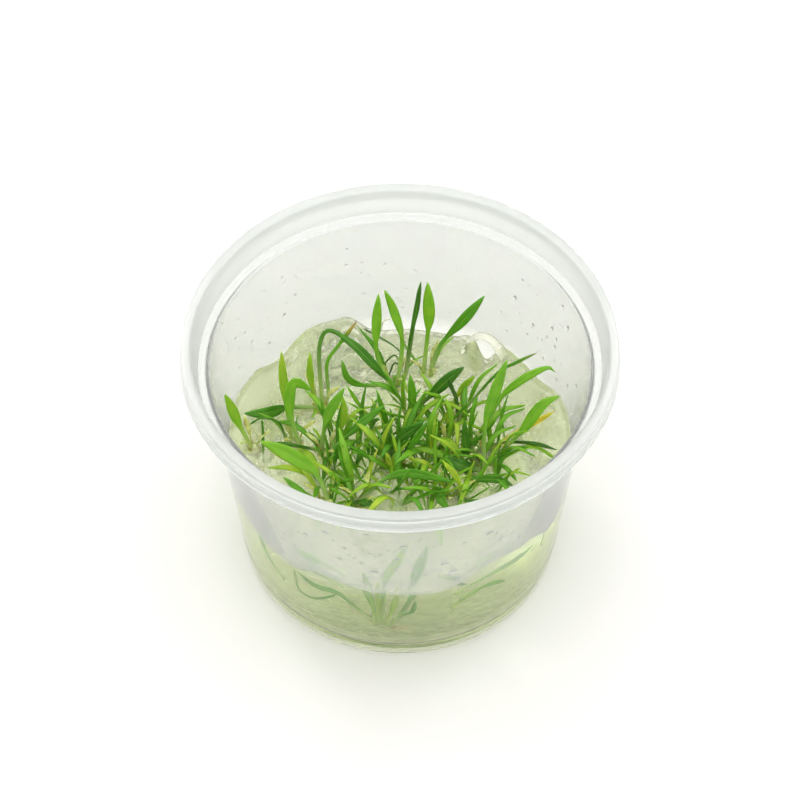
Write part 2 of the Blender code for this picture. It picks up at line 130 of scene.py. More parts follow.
# Leaves: number of the crown, blade width, share of the length that is bare stalk,
# compass angle that the upper face looks to, tone from 0 (darkest green) to 1 (yellow)
# (for leaf 15 painted shade), the foot's x and y, and the points that the midrib passes
# through after it
FOOT = 1.4
LEAVES = (
    (1, 2.5, 0.30, -60, 0.72, (-36.0, 0.2), ((-38.4, -0.2, 42), (-40.6, -0.6, 52))),
    (3, 2.8, 0.35, -90, 0.30, (-21.2, 13.2), ((-26.8, 11.9, 31.4), (-32, 6.9, 35.6), (-37.2, 6.8, 35.4))),
    (2, 2.2, 0.30, -90, 0.76, (-26.4, 6.4), ((-27.6, 11, 41), (-28, 14, 50))),
    (2, 2.9, 0.30, -70, 0.62, (-24.2, 2.2), ((-26.2, 4.6, 40), (-25.2, 7.2, 46.5), (-20.8, 8.6, 42))),
    (3, 2.0, 0.35, -110, 0.76, (-20.5, 15.2), ((-21.3, 15, 37), (-21.5, 16.8, 46))),
    (3, 2.3, 0.52, -60, 0.24, (-19, 16.4),
     ((-19.4, 21, 42), (-17.2, 23.4, 46.5), (-11.4, 20.5, 45), (-6, 18, 39.5), (-3, 17.2, 35))),
    (3, 1.1, 0.60, -60, 0.55, (-17.4, 17.4), ((-17.6, 20, 38), (-15, 22.2, 42), (-10.5, 25.6, 47))),
    (4, 1.8, 0.35, -90, 0.50, (-4.6, 20.4), ((-9.5, 17.6, 33), (-12.6, 17, 36.5), (-14, 18.8, 41))),
    (4, 2.4, 0.45, -80, 0.66, (-2.8, 21.4), ((-5.7, 22.8, 40), (-5.1, 26.7, 56))),
    (4, 2.3, 0.45, -80, 0.66, (-0.4, 22.8), ((0.5, 25.6, 40), (-1.6, 28.4, 48), (-3.7, 29.7, 54))),
    (4, 1.6, 0.50, -60, 0.16, (1.4, 24.2), ((2.8, 26, 42), (5, 30.6, 56))),
    (5, 3.0, 0.45, -90, 0.70, (5.9, 26), ((6.8, 27.8, 41), (7, 29.2, 48), (6.6, 31.2, 55))),
    (5, 2.7, 0.40, -60, 0.42, (7.7, 25.0), ((9.6, 26.4, 37), (14.9, 26.8, 46), (20.2, 28.7, 53))),
    (6, 2.9, 0.35, -110, 0.18, (3, 11.8), ((7.7, 12.3, 36), (12.4, 13, 42), (15.2, 13.3, 45))),
    # Leaf 15's near-black tone is painted shade on an edge-on leaf, not its own green
    (7, 1.8, 0.30, -30, 0.03, (14.2, 10.6), ((13.2, 9.4, 38), (11.4, 10.6, 44))),
    (8, 3.1, 0.40, -70, 0.60, (20, -4), ((20.1, -0.4, 40), (22.2, 3.0, 49), (24.9, 6.4, 56))),
    (7, 0.9, 0.60, -90, 0.30, (15.6, 12.8), ((23, 14.4, 41), (28, 14.6, 45.4), (32.3, 15.1, 48))),
    (8, 2.0, 0.40, -90, 0.62, (19.7, 3.6),
     ((23.2, 7.4, 39), (28.3, 8.2, 46), (34.3, 8.9, 50), (36.4, 8.5, 49))),
    (7, 1.6, 0.35, -120, 0.78, (12.6, 13.6), ((14.8, 15.4, 34), (18, 15.6, 39))),
    (10, 3.6, 0.35, -80, 0.64, (-17.1, -13.8), ((-19.6, -12.4, 37), (-25, -11, 42), (-32.4, -8.9, 45))),
    (9, 1.0, 0.50, -90, 0.15, (-20, 0.4), ((-24.1, -1.6, 33.6), (-29.2, -2.2, 36))),
    (10, 1.5, 0.35, -60, 0.50, (-19.4, -14.8), ((-23.9, -13.1, 32), (-27.4, -11.1, 34))),
    (9, 2.5, 0.35, -120, 0.55, (-18.6, 1.8), ((-17.2, 2.6, 39), (-13.1, 5.3, 47))),
    (9, 2.1, 0.35, -100, 0.40, (-16.6, -0.2), ((-11.3, 1.1, 36), (-3.6, 4.2, 42))),
    (9, 1.9, 0.35, -70, 0.74, (-15.9, 2.0), ((-13.4, 5, 36), (-13.7, 8, 41))),
    (6, 2.1, 0.30, -90, 0.50, (2.2, 10.0), ((2.9, 11, 36), (2.4, 13.5, 42))),
    (12, 2.7, 0.35, -100, 0.20, (-3.4, -2.2), ((-0.2, -1.4, 36), (5.7, -0.6, 42))),
    (12, 1.9, 0.35, -60, 0.40, (0.2, -3.6), ((2.6, -4.2, 37), (6.4, -3.2, 45))),
    (12, 2.0, 0.30, -120, 0.82, (-1.4, -5.4), ((-2, -6.3, 32), (-3.3, -5.4, 36))),
    (11, 2.4, 0.30, -90, 0.42, (-8.9, -13.8), ((-3.5, -12.4, 35), (2.8, -12.9, 38), (12.4, -14.3, 36.4))),
    (14, 2.0, 0.30, -80, 0.28, (13.6, -11.6), ((18.3, -11.4, 33.6), (23.4, -12.7, 35), (26.6, -12.9, 33))),
    (11, 1.6, 0.30, -90, 0.20, (-10.4, -14.8), ((-8.6, -16.6, 31.4), (-4.9, -17.2, 31.6))),
    (14, 2.4, 0.30, -90, 0.45, (11.4, -12.6), ((9.4, -15.6, 32.6), (11.4, -18.6, 31))),
    (14, 1.5, 0.30, -110, 0.84, (14.2, -13.8), ((13.6, -12.6, 35), (9.8, -11.4, 41))),
    (8, 2.8, 0.35, -110, 0.60, (23.2, -1.2), ((28.9, 0.4, 37), (33.4, 2.1, 44.6), (37.4, 2.9, 47))),
    (8, 1.6, 0.35, -80, 1.00, (22.6, 1.4), ((28, 4.6, 31), (32.8, 6.2, 33.4), (36.6, 6, 37))),
    (8, 1.0, 0.50, -90, 0.08, (20.6, 1.4), ((26.1, 0.8, 32), (31.9, -1.6, 34.6), (37.2, -3.4, 34.4))),
    (8, 1.2, 0.40, -90, 0.50, (22.4, -3.6), ((25.1, -6.9, 32), (27.6, -10.0, 31))),
    (8, 2.2, 0.30, -70, 0.22, (17.4, -3.0), ((15.4, -2.2, 36), (15.2, -0.6, 42))),
    (13, 1.4, 0.40, -120, 0.70, (11.2, 1.8), ((12.2, 3.0, 38), (10.8, 5.5, 43))),
    (8, 1.6, 0.40, -50, 0.50, (17.2, 1.8), ((16.8, 3, 38), (18.2, 5.4, 44))),
    (8, 3.0, 0.20, -60, 0.25, (18.2, -5.4), ((14.6, -6.4, 32.4), (10.6, -4.6, 33.4))),
)
DRY_TIPS = {7: 0.8, 36: 0.1, 3: 0.1, 17: 0.2}  # leaf number and how dry its tip is
STALK_WIDTH = 1.05
SMALL_STALK_WIDTH = 0.4
BLADE_THICKNESS = 0.45
TIP_WIDTH = 0.16
CHANNEL = 0.22
LEAF_STATIONS = 44
FRONT_STATIONS = 30
SMALL_STATIONS = 22
PATTERN_STATIONS = 20
STALK_STATIONS = 20
CURVE_STEPS = 12
ACROSS = (-1.0, -0.78, -0.45, -0.13, 0.0, 0.13, 0.45, 0.78, 1.0)  # of half the width
RIPPLE = 0.10  # how far the margins wave, as a share of half the width
TWIST = 16.0  # degrees that a blade turns towards its tip, either way

# Plants that stand in the gel by the front wall: width, tone, points of the midrib
FRONT_STALK = 0.3
FRONT_CROWN = (-3.8, -34.5, 12.0)
FRONT_LEAVES = (
    (2.0, 0.64, ((-26.1, -27.0, 16.8), (-28.0, -25.3, 18.9), (-30.1, -23.5, 23.2),
                 (-31.0, -23.0, 28.5), (-31.5, -23.3, 34.5))),
    (1.6, 0.60, ((-12.4, -35.0, 26.6), (-15.9, -33.7, 28.2), (-19.8, -31.6, 29.1), (-24.3, -28.3, 28.7))),
    (0.9, 0.45, ((-23.5, -30.0, 25.1), (-22.8, -29.6, 16.8), (-19.5, -31.9, 16.3),
                 (-15.3, -34.5, 21.0), (-13.6, -35.5, 24.5))),
    (1.8, 0.45, ((-6.5, -36.2, 14.2), (-10.9, -35.8, 20.1), (-14.1, -35.0, 23.4),
                 (-19.3, -32.4, 22.9), (-23.1, -30.0, 25.2))),
    (1.7, 0.70, ((-5.6, -35.7, 11.3), (-6.0, -36.4, 19.9), (-7.6, -36.7, 27.4), (-8.6, -37.0, 32.5))),
    (2.1, 0.72, ((-3.7, -35.5, 11.6), (-3.9, -36.3, 20.2), (-3.2, -37.0, 29.6),
                 (-0.6, -37.8, 38.0), (2.1, -38.0, 46.0))),
    (2.5, 0.55, ((-2.3, -34.0, 9.5), (0.5, -34.8, 16.9), (3.1, -35.5, 26.1),
                 (4.6, -36.0, 33.6), (6.4, -36.2, 42.2))),
    (1.3, 0.45, ((-1.6, -37.0, 14.4), (1.0, -37.3, 17.8), (2.8, -37.4, 19.0), (3.5, -37.6, 23.7))),
    (1.6, 0.80, ((-4.7, -36.5, 12.5), (-4.8, -37.0, 18.7), (-4.8, -37.6, 24.8), (-5.2, -38.0, 30.3))),
    (1.5, 0.82, ((-3.0, -36.5, 12.4), (-1.8, -37.1, 19.3), (-0.9, -37.7, 25.0), (-0.4, -38.0, 28.7))),
    (1.2, 0.25, ((9.0, -37.4, 31.5), (12.0, -36.5, 29.4), (15.1, -35.1, 26.7))),
    (1.9, 0.64, ((12.1, -35.0, 23.4), (16.3, -33.6, 25.8), (20.9, -31.0, 26.5),
                 (26.3, -27.0, 26.5), (30.0, -23.2, 26.5))),
    (1.5, 0.60, ((13.1, -34.3, 20.2), (17.3, -32.5, 21.8), (20.6, -30.4, 21.2), (23.3, -28.1, 18.8))),
    (1.6, 0.74, ((11.3, -33.9, 16.4), (13.6, -33.3, 18.8), (15.5, -32.6, 20.3), (18.3, -31.2, 21.6))),
    (1.0, 0.60, ((31.0, -20.0, 22), (32.6, -20.6, 29), (34.6, -18.0, 35))),
)

# Bare stalks and threads: thickness, tone, points
STALKS = (
    (0.8, 0.30, ((-32.8, -1.9, 27.5), (-32.5, 0.5, 34), (-32.6, 2.0, 39))),
    (0.7, 0.20, ((-27.0, 1.8, 27.5), (-28.4, 2.4, 37), (-32.6, 2.6, 39), (-35.5, 2.4, 37))),
    (0.6, 0.50, ((25.3, 4.7, 27), (24.4, 6.0, 34), (23.5, 9.6, 37))),
    (0.5, 0.15, ((0.5, 26.2, 27), (0.0, 29.6, 31), (-5.1, 32.7, 33), (-8.8, 34.4, 34))),
    (0.5, 0.10, ((0.0, 29.0, 28), (-1.4, 27.4, 32.4), (-3.4, 26.3, 31), (-4.0, 25.8, 27))),
    (0.5, 0.10, ((0.0, 27.6, 28), (-1.4, 25.1, 32.2), (-2.8, 24.5, 28))),
)
THREADS = (  # roots that show above the gel
    ((-36.9, 6.6, 31.0), (-34.9, 3.9, 32.4), (-33.0, 3.4, 29.0)),
    ((-4.6, 37.0, 30.5), (-4.0, 37.0, 34.0), (-1.6, 36.2, 35.4), (0.8, 35.6, 33.4), (1.2, 34.0, 30)),
    ((-9.6, 25.4, 30.4), (-6.1, 23.6, 31.8), (-3.1, 21.2, 30.4)),
    ((2.4, -10.4, 29.8), (4.8, -12.5, 30.2), (7.1, -14.1, 28.4)),
    ((1.2, -11.1, 29.0), (2.4, -13.5, 29.8), (3.6, -15.5, 28.4)),
)

# Tufts: plantlets too small to stand on their own, spread round a spiral, and the small
# leaves of every plant
PLANTLETS = 28
PLANTLET_CENTRE = (2.0, -3.0)
PLANTLET_REACH = (23.0, 14.0)
GOLDEN_ANGLE = 2.39996
CROWN_LEAVES = (0, 3, 2, 5, 2, 7, 4, 4, 6, 5, 7, 9, 6, 7)
PLANTLET_LEAVES = 7
SHORTEST_LEAF = 7.0
LONGEST_LEAF = 18.0
LEAST_LEAN = 2.0
MOST_LEAN = 38.0
DARKEST = 0.34  # tones, as above
PALEST = 0.84
TUFT_SPREAD = 1.2
SMALL_LEAF_ROOT = -3.5
PATTERN_LENGTH = 10.0
LEAF_PATTERNS = (  # width, and how far the leaf has bent over at two thirds and at the tip
    (1.0, (0.9, 6.8), (1.8, 10.0)),
    (0.85, (1.2, 6.6), (3.6, 9.0)),
    (1.15, (1.8, 6.0), (5.0, 7.6)),
    (0.6, (0.4, 6.8), (0.4, 10.0)),
    (0.9, (2.2, 5.6), (6.2, 5.4)),
)

# Roots in the gel
ROOTS_EACH = 4
ROOT_LENGTH = 15.0
ROOT_THICKNESS = 0.34
ROOT_DEPTH = 2.5  # of its start below the gel's top
ROOT_STEPS = 14
ROOT_SIDES = 7
ROOT_RINGS = 18
ROOT_CLEARANCE = 1.5  # above the cup's floor
THREAD_STATIONS = 16

# Drops of condensed water inside the wall: compass angle, height, width, length
DROPS = (
    (156, 50.7, 1.0, 1.3), (148, 43.8, 0.7, 1.0), (140, 38.0, 0.8, 1.1), (132, 43.2, 0.9, 1.4),
    (155, 46.6, 0.6, 0.8), (162, 51.3, 0.7, 0.9), (157, 41.3, 0.8, 1.0), (166, 57.8, 0.6, 0.8),
    (162, 60.6, 0.7, 1.2), (49, 48.5, 0.8, 1.8), (40, 44.2, 0.7, 1.6), (31, 48.9, 0.8, 1.7),
    (23, 54.9, 0.7, 2.4), (28, 58.6, 0.8, 1.6), (42, 39.9, 0.6, 0.9), (33, 44.8, 0.7, 1.0),
    (28, 47.4, 0.6, 1.6), (28, 44.7, 0.8, 1.3), (33, 37.2, 0.7, 0.9), (16, 40.3, 0.9, 1.4),
    (9, 46.2, 0.8, 1.7), (24, 36.1, 0.7, 1.0), (95, 49.1, 0.6, 0.9), (103, 47.2, 0.5, 0.8),
    (90, 47.3, 0.6, 0.7), (-120, 46.8, 1.4, 1.6), (-113, 51.2, 1.5, 1.8), (-100, 54.5, 1.3, 1.5),
    (-89, 50.2, 1.8, 2.0), (-98, 38.5, 2.0, 1.5), (-76, 40.8, 1.9, 1.3), (-73, 36.6, 1.9, 1.2),
    (-62, 48.6, 1.9, 1.4), (-57, 43.4, 1.3, 1.9), (-96, 46.3, 1.0, 1.2), (-102, 41.7, 0.9, 1.1),
    (-91, 44.9, 1.0, 1.1), (-107, 46.8, 0.9, 1.1), (-84, 53.3, 1.1, 1.3), (-70, 48.0, 1.3, 1.2),
    (-109, 41.3, 1.1, 1.2), (-49, 38.5, 1.2, 1.3), (-129, 41.3, 1.1, 1.3), (-134, 46.2, 1.0, 1.2),
)
MIST = (  # patches of small drops: compass angle, half its width, lowest, highest, count
    (142, 26, 36, 56, 110), (30, 24, 36, 58, 60), (92, 20, 34, 52, 40), (-92, 26, 34, 54, 150),
    (-50, 16, 38, 56, 50), (-140, 16, 38, 56, 40), (-12, 20, 34, 52, 40), (-176, 16, 38, 56, 40),
)
DROP_HEIGHT = 0.5  # of its width
DROP_CLEARANCE = 1.5  # above the gel

# Surroundings, in metres
GROUND_REACH = 2.5
TENT_STRENGTH = 1.95
LAMPS = (  # name, place, width, power, colour
    ("key", (-0.55, 0.75, 0.85), 0.34, 2.0, "#fffdf8"),
    ("fill", (0.65, 0.45, 1.0), 0.26, 1.2, "#fbfdff"),
    ("top", (-0.1, -0.1, 1.3), 0.22, 0.8, "#fffdf8"),
)

SEED = 7


def smooth_step(low, high, value):
    share = min(max((value - low) / (high - low), 0.0), 1.0)
    return share * share * (3.0 - 2.0 * share)


def linear(code):
    """The linear colour of an sRGB hex code."""
    parts = [int(code[place : place + 2], 16) / 255.0 for place in (1, 3, 5)]
    return (*[part / 12.92 if part <= 0.04045 else ((part + 0.055) / 1.055) ** 2.4 for part in parts], 1.0)


def around(radius, angle, height):
    """The place at that distance and angle round the cup's axis."""
    return Vector((radius * math.cos(angle), radius * math.sin(angle), height))


def per_metre(millimetres):
    """A texture's scale for a feature of that size."""
    return 1.0 / (millimetres * MM)


def add_node(tree, kind, links=None, stops=None, **settings):
    """Adds a node with its settings. A link is a socket to read from, a node whose first
    output is read, or a plain value."""
    node = tree.nodes.new(kind)
    for name, value in settings.items():
        setattr(node, name, value)
    for place, (position, colour) in enumerate(stops or ()):
        elements = node.color_ramp.elements
        stop = elements[place] if place < len(elements) else elements.new(position)
        stop.position = position
        stop.color = linear(colour)
    for name, value in (links or {}).items():
        value = value.outputs[0] if isinstance(value, bpy.types.Node) else value
        if isinstance(value, bpy.types.NodeSocket):
            tree.links.new(value, node.inputs[name])
        else:
            node.inputs[name].default_value = value
    return node


def new_material(name):
    """An empty material and its tree."""
    material = bpy.data.materials.new(name)
    material.use_nodes = True
    material.node_tree.nodes.clear()
    return material, material.node_tree


def moulded_polypropylene():
    """Clarified polypropylene, injection moulded and glossy: clear where the gel wets it, with
    a breath of condensed water on its inside above that, and a satin, slightly milky rim."""
    material, tree = new_material("clarified_polypropylene")
    place = add_node(tree, "ShaderNodeTexCoord").outputs["Object"]
    height = add_node(tree, "ShaderNodeSeparateXYZ", {"Vector": place}).outputs["Z"]
    # From and to which height in millimetres a value changes, and the value below and above
    changes = (
        (26.0, 32.0, 0.98, 0.81),  # clear below the gel's edge, misted above it
        (60.0, 63.0, 1.0, 1.05),  # the lip holds no mist
        (61.0, 65.0, 0.0, 0.34),  # satin lip
    )
    damp, dry, satin = [
        add_node(tree, "ShaderNodeMapRange", {
            "Value": height, "From Min": low * MM, "From Max": high * MM,
            "To Min": below, "To Max": above,
        })
        for low, high, below, above in changes
    ]
    clear = add_node(tree, "ShaderNodeMath", {0: damp, 1: dry}, operation="MULTIPLY")
    share = add_node(tree, "ShaderNodeMath", {0: height, 1: CUP_HEIGHT * MM}, operation="DIVIDE")
    # White below the gel's edge and off-white above it. The greyer band at 63-64 mm over the flat ledge is
    # painted shade: it dims the ring where the light from above falls
    colour = add_node(
        tree, "ShaderNodeValToRGB", {"Fac": share},
        stops=((0.4, "#ffffff"), (0.47, "#f2f3f2"), (0.86, "#f2f3f2"),
               (0.9, "#e7e9e8"), (0.915, "#e7e9e8"), (0.93, "#eff1f0")),
    )
    mist = add_node(tree, "ShaderNodeTexNoise", {"Vector": place, "Scale": per_metre(16), "Detail": 3.0})
    rough = add_node(
        tree, "ShaderNodeMapRange",
        {"Value": mist, "From Min": 0.4, "From Max": 0.65, "To Min": 0.06, "To Max": 0.16},
    )
    # Only the inside is misted: how far a point lies outside the middle of the wall
    flat = add_node(tree, "ShaderNodeVectorMath", {0: place, 1: (1.0, 1.0, 0.0)}, operation="MULTIPLY")
    reach = add_node(tree, "ShaderNodeVectorMath", {0: flat}, operation="LENGTH").outputs["Value"]
    slope = (WALL_TOP_RADIUS - FOOT_RADIUS) / LEDGE_HEIGHT
    middle = add_node(
        tree, "ShaderNodeMath", {0: height, 1: slope, 2: (FOOT_RADIUS - 0.5 * WALL) * MM},
        operation="MULTIPLY_ADD",
    )
    beyond = add_node(tree, "ShaderNodeMath", {0: reach, 1: middle}, operation="SUBTRACT")
    misted = add_node(
        tree, "ShaderNodeMapRange",
        {"Value": beyond, "From Min": -0.1 * MM, "From Max": 0.1 * MM, "To Min": 1.0, "To Max": 0.4},
    )
    inside = add_node(tree, "ShaderNodeMath", {0: rough, 1: misted}, operation="MULTIPLY")
    dull = add_node(tree, "ShaderNodeMath", {0: inside, 1: satin}, operation="ADD")
    shader = add_node(
        tree, "ShaderNodeBsdfPrincipled",
        {"Base Color": colour, "Roughness": dull, "IOR": 1.49, "Transmission Weight": clear},
    )
    add_node(tree, "ShaderNodeOutputMaterial", {"Surface": shader})
    return material


def agar_gel():
    """Agar gel, poured and then torn by the roots: clear as water, faintly yellow-green in
    depth, with a wet gloss over a finely wrinkled skin."""
    material, tree = new_material("agar_gel")
    place = add_node(tree, "ShaderNodeTexCoord").outputs["Object"]
    wrinkle = add_node(
        tree, "ShaderNodeTexNoise",
        {"Vector": place, "Scale": per_metre(2.2), "Detail": 3.0, "Roughness": 0.5, "Distortion": 0.8},
    )
    # Only the open top is wrinkled and hazy: the side and foot set against smooth plastic
    normal = add_node(tree, "ShaderNodeNewGeometry").outputs["Normal"]
    upward = add_node(tree, "ShaderNodeSeparateXYZ", {"Vector": normal}).outputs["Z"]
    open_top = add_node(
        tree, "ShaderNodeMapRange", {"Value": upward, "From Min": 0.1, "From Max": 0.5}
    ).outputs["Result"]
    strength = add_node(tree, "ShaderNodeMath", {0: open_top, 1: 0.7}, operation="MULTIPLY")
    bump = add_node(tree, "ShaderNodeBump", {"Strength": strength, "Distance": 0.9 * MM, "Height": wrinkle})
    clear = add_node(tree, "ShaderNodeMapRange", {"Value": open_top, "To Min": 0.98, "To Max": 0.8})
    shader = add_node(
        tree, "ShaderNodeBsdfPrincipled",
        {
            "Base Color": linear("#fffef4"), "Roughness": 0.04, "IOR": 1.34,
            "Transmission Weight": clear, "Normal": bump,
        },
    )
    depth = add_node(tree, "ShaderNodeVolumeAbsorption", {"Color": linear("#cae067"), "Density": 14.0})
    add_node(tree, "ShaderNodeOutputMaterial", {"Surface": shader, "Volume": depth})
    return material


def condensed_water():
    """Water condensed into beads: clear, round and bright at one edge."""
    material, tree = new_material("condensed_water")
    shader = add_node(
        tree, "ShaderNodeBsdfPrincipled",
        {"Base Color": linear("#ffffff"), "Roughness": 0.02, "IOR": 1.333, "Transmission Weight": 1.0},
    )
    add_node(tree, "ShaderNodeOutputMaterial", {"Surface": shader})
    return material


def leaf_skin():
    """Living leaf, grown in gel: a smooth cuticle with a soft gloss, light that comes
    through the thin blade, a paler midrib and stalk and fine veins along the length."""
    material, tree = new_material("leaf_skin")
    place = add_node(tree, "ShaderNodeTexCoord").outputs["Object"]
    uv = add_node(tree, "ShaderNodeUVMap", uv_map="UVMap").outputs["UV"]
    split = add_node(tree, "ShaderNodeSeparateXYZ", {"Vector": uv})
    across, along = split.outputs["X"], split.outputs["Y"]
    tone = add_node(tree, "ShaderNodeAttribute", attribute_name="tone").outputs["Fac"]
    dry = add_node(tree, "ShaderNodeAttribute", attribute_name="dry").outputs["Fac"]
    mottle = add_node(tree, "ShaderNodeTexNoise", {"Vector": place, "Scale": per_metre(2.5), "Detail": 2.0})
    patch = add_node(tree, "ShaderNodeMapRange", {"Value": mottle, "To Min": -0.14, "To Max": 0.14})
    shade = add_node(tree, "ShaderNodeMath", {0: tone, 1: patch}, operation="ADD")
    green = add_node(
        tree, "ShaderNodeValToRGB", {"Fac": shade},
        stops=((0.0, "#145009"), (0.2, "#2c7a0e"), (0.45, "#58a618"), (0.68, "#8bc62a"),
               (0.86, "#c4d63c"), (1.0, "#f4e052")),
    )
    # Parallel veins 0.1 mm apart, drawn at 0.25 mm so that they show
    stretched = add_node(tree, "ShaderNodeMapping", {"Vector": uv, "Scale": (11.0, 1.4, 1.0)})
    veins = add_node(tree, "ShaderNodeTexNoise", {"Vector": stretched, "Scale": 1.0, "Detail": 1.0})
    veined = add_node(
        tree, "ShaderNodeMapRange",
        {"Value": veins, "From Min": 0.35, "From Max": 0.7, "To Min": 0.0, "To Max": 0.3},
    )
    centre = add_node(tree, "ShaderNodeMath", {0: across, 1: 0.5}, operation="SUBTRACT")
    away = add_node(tree, "ShaderNodeMath", {0: centre}, operation="ABSOLUTE")
    rib = add_node(
        tree, "ShaderNodeMapRange",
        {"Value": away, "From Min": 0.02, "From Max": 0.07, "To Min": 0.22, "To Max": 0.0},
    )
    stalk = add_node(
        tree, "ShaderNodeMapRange",
        {"Value": along, "From Min": 0.06, "From Max": 0.52, "To Min": 0.8, "To Max": 0.0},
        interpolation_type="SMOOTHSTEP",
    )
    tip = add_node(
        tree, "ShaderNodeMapRange", {"Value": along, "From Min": 0.8, "From Max": 0.93, "To Max": 1.0}
    )
    dried = add_node(tree, "ShaderNodeMath", {0: tip, 1: dry}, operation="MULTIPLY")
    # Paler veins, midrib and stalk and a straw-brown dry tip, each laid over the last
    colour = green.outputs["Color"]
    for amount, paint in ((veined, "#a5d052"), (rib, "#b5d566"), (stalk, "#d2e298"), (dried, "#c79a4e")):
        laid = add_node(tree, "ShaderNodeMix", {0: amount, 6: colour, 7: linear(paint)}, data_type="RGBA")
        colour = laid.outputs[2]
    relief = add_node(tree, "ShaderNodeMath", {0: veins, 1: rib}, operation="SUBTRACT")
    bump = add_node(tree, "ShaderNodeBump", {"Strength": 0.35, "Distance": 0.12 * MM, "Height": relief})
    gloss = add_node(tree, "ShaderNodeMapRange", {"Value": mottle, "To Min": 0.28, "To Max": 0.5})
    skin = add_node(
        tree, "ShaderNodeBsdfPrincipled",
        {"Base Color": colour, "Roughness": gloss, "IOR": 1.42, "Normal": bump},
    )
    through = add_node(tree, "ShaderNodeBsdfTranslucent", {"Color": colour})
    blend = add_node(tree, "ShaderNodeMixShader", {0: 0.42, 1: skin, 2: through})
    add_node(tree, "ShaderNodeOutputMaterial", {"Surface": blend})
    return material


def crown_tissue():
    """Young rhizome, grown in gel: pale yellow-green flesh with brown scars, wet."""
    material, tree = new_material("crown_tissue")
    place = add_node(tree, "ShaderNodeTexCoord").outputs["Object"]
    scars = add_node(tree, "ShaderNodeTexNoise", {"Vector": place, "Scale": per_metre(1.2), "Detail": 4.0})
    colour = add_node(
        tree, "ShaderNodeValToRGB", {"Fac": scars},
        stops=((0.3, "#8a7a3a"), (0.42, "#a9b155"), (0.6, "#c6cf83"), (0.75, "#d9dcae")),
    )
    bump = add_node(tree, "ShaderNodeBump", {"Strength": 0.5, "Distance": 0.3 * MM, "Height": scars})
    shader = add_node(
        tree, "ShaderNodeBsdfPrincipled",
        {
            "Base Color": colour, "Roughness": 0.4, "IOR": 1.4,
            "Normal": bump, "Subsurface Weight": 0.2, "Subsurface Scale": 0.8 * MM,
        },
    )
    add_node(tree, "ShaderNodeOutputMaterial", {"Surface": shader})
    return material


def root_skin():
    """Young root, grown in gel: a thin, slightly waxy thread, cream to tan."""
    material, tree = new_material("root_skin")
    place = add_node(tree, "ShaderNodeTexCoord").outputs["Object"]
    along = add_node(tree, "ShaderNodeTexNoise", {"Vector": place, "Scale": per_metre(6), "Detail": 2.0})
    colour = add_node(
        tree, "ShaderNodeValToRGB", {"Fac": along},
        stops=((0.3, "#a98a55"), (0.45, "#c8b98a"), (0.65, "#dfe0bd")),
    )
    shader = add_node(
        tree, "ShaderNodeBsdfPrincipled", {"Base Color": colour, "Roughness": 0.5, "IOR": 1.4}
    )
    add_node(tree, "ShaderNodeOutputMaterial", {"Surface": shader})
    return material


def matte_floor():
    """Painted board, rolled matt white: an even pale ground."""
    material, tree = new_material("matt_white_board")
    place = add_node(tree, "ShaderNodeTexCoord").outputs["Object"]
    tooth = add_node(tree, "ShaderNodeTexNoise", {"Vector": place, "Scale": per_metre(40), "Detail": 2.0})
    colour = add_node(
        tree, "ShaderNodeValToRGB", {"Fac": tooth}, stops=((0.0, "#dad9d7"), (1.0, "#dcdcda"))
    )
    shader = add_node(
        tree, "ShaderNodeBsdfPrincipled",
        {"Base Color": colour, "Roughness": 0.9, "Specular IOR Level": 0.1},
    )
    add_node(tree, "ShaderNodeOutputMaterial", {"Surface": shader})
    return material


class Body:
    """The points, faces and values of one piece while it is built."""

    def __init__(self):
        self.points = []
        self.uvs = []
        self.tones = []
        self.dryness = []
        self.faces = []
        self.kinds = []

    def add_rings(self, rings, uv_rings, tone=0.5, dry=0.0, kind=0):
        """Skins a row of equal loops and closes both ends."""
        first = len(self.points)
        count = len(rings[0])
        for ring, uvs in zip(rings, uv_rings):
            self.points += ring
            self.uvs += uvs
        self.tones += [tone] * (len(self.points) - first)
        self.dryness += [dry] * (len(self.points) - first)
        before = len(self.faces)
        for row in range(len(rings) - 1):
            low = first + row * count
            for step in range(count):
                after = (step + 1) % count
                self.faces.append((low + step, low + after, low + count + after, low + count + step))
        last = first + (len(rings) - 1) * count
        self.faces.append(tuple(reversed(range(first, first + count))))
        self.faces.append(tuple(range(last, last + count)))
        self.kinds += [kind] * (len(self.faces) - before)


def new_mesh(name, points, edges=(), faces=()):
    """A mesh in metres from points in millimetres."""
    mesh = bpy.data.meshes.new(name)
    mesh.from_pydata([point * MM for point in points], edges, faces)
    return mesh


def plain_mesh(name, make, **sizes):
    """A mesh made by one of the plain shapes of bmesh."""
    mesh_data = bmesh.new()
    make(mesh_data, **sizes)
    mesh = bpy.data.meshes.new(name)
    mesh_data.to_mesh(mesh)
    mesh_data.free()
    return mesh


def store_values(mesh, columns, kind="FLOAT"):
    """Stores a value for each point under each name."""
    for name, values in columns.items():
        mesh.attributes.new(name, kind, "POINT").data.foreach_set("value", values)


def add_object(name, data):
    """A new object at the origin of the scene."""
    made = bpy.data.objects.new(name, data)
    bpy.context.scene.collection.objects.link(made)
    return made


def make_piece(name, body, materials):
    """Turns a body in millimetres into a named object in metres."""
    mesh = new_mesh(name, body.points, faces=body.faces)
    layer = mesh.uv_layers.new(name="UVMap")
    for loop in mesh.loops:
        layer.data[loop.index].uv = body.uvs[loop.vertex_index]
    store_values(mesh, {"tone": body.tones, "dry": body.dryness})
    mesh.polygons.foreach_set("material_index", body.kinds)
    return finish_mesh(name, mesh, materials)


def finish_mesh(name, mesh, materials):
    """Faces outwards, smooth shading and materials, on a new object at the origin."""
    mesh_data = bmesh.new()
    mesh_data.from_mesh(mesh)
    bmesh.ops.recalc_face_normals(mesh_data, faces=mesh_data.faces)
    mesh_data.to_mesh(mesh)
    mesh_data.free()
    mesh.materials.clear()
    for material in materials:
        mesh.materials.append(material)
    mesh.shade_smooth()
    return add_object(name, mesh)


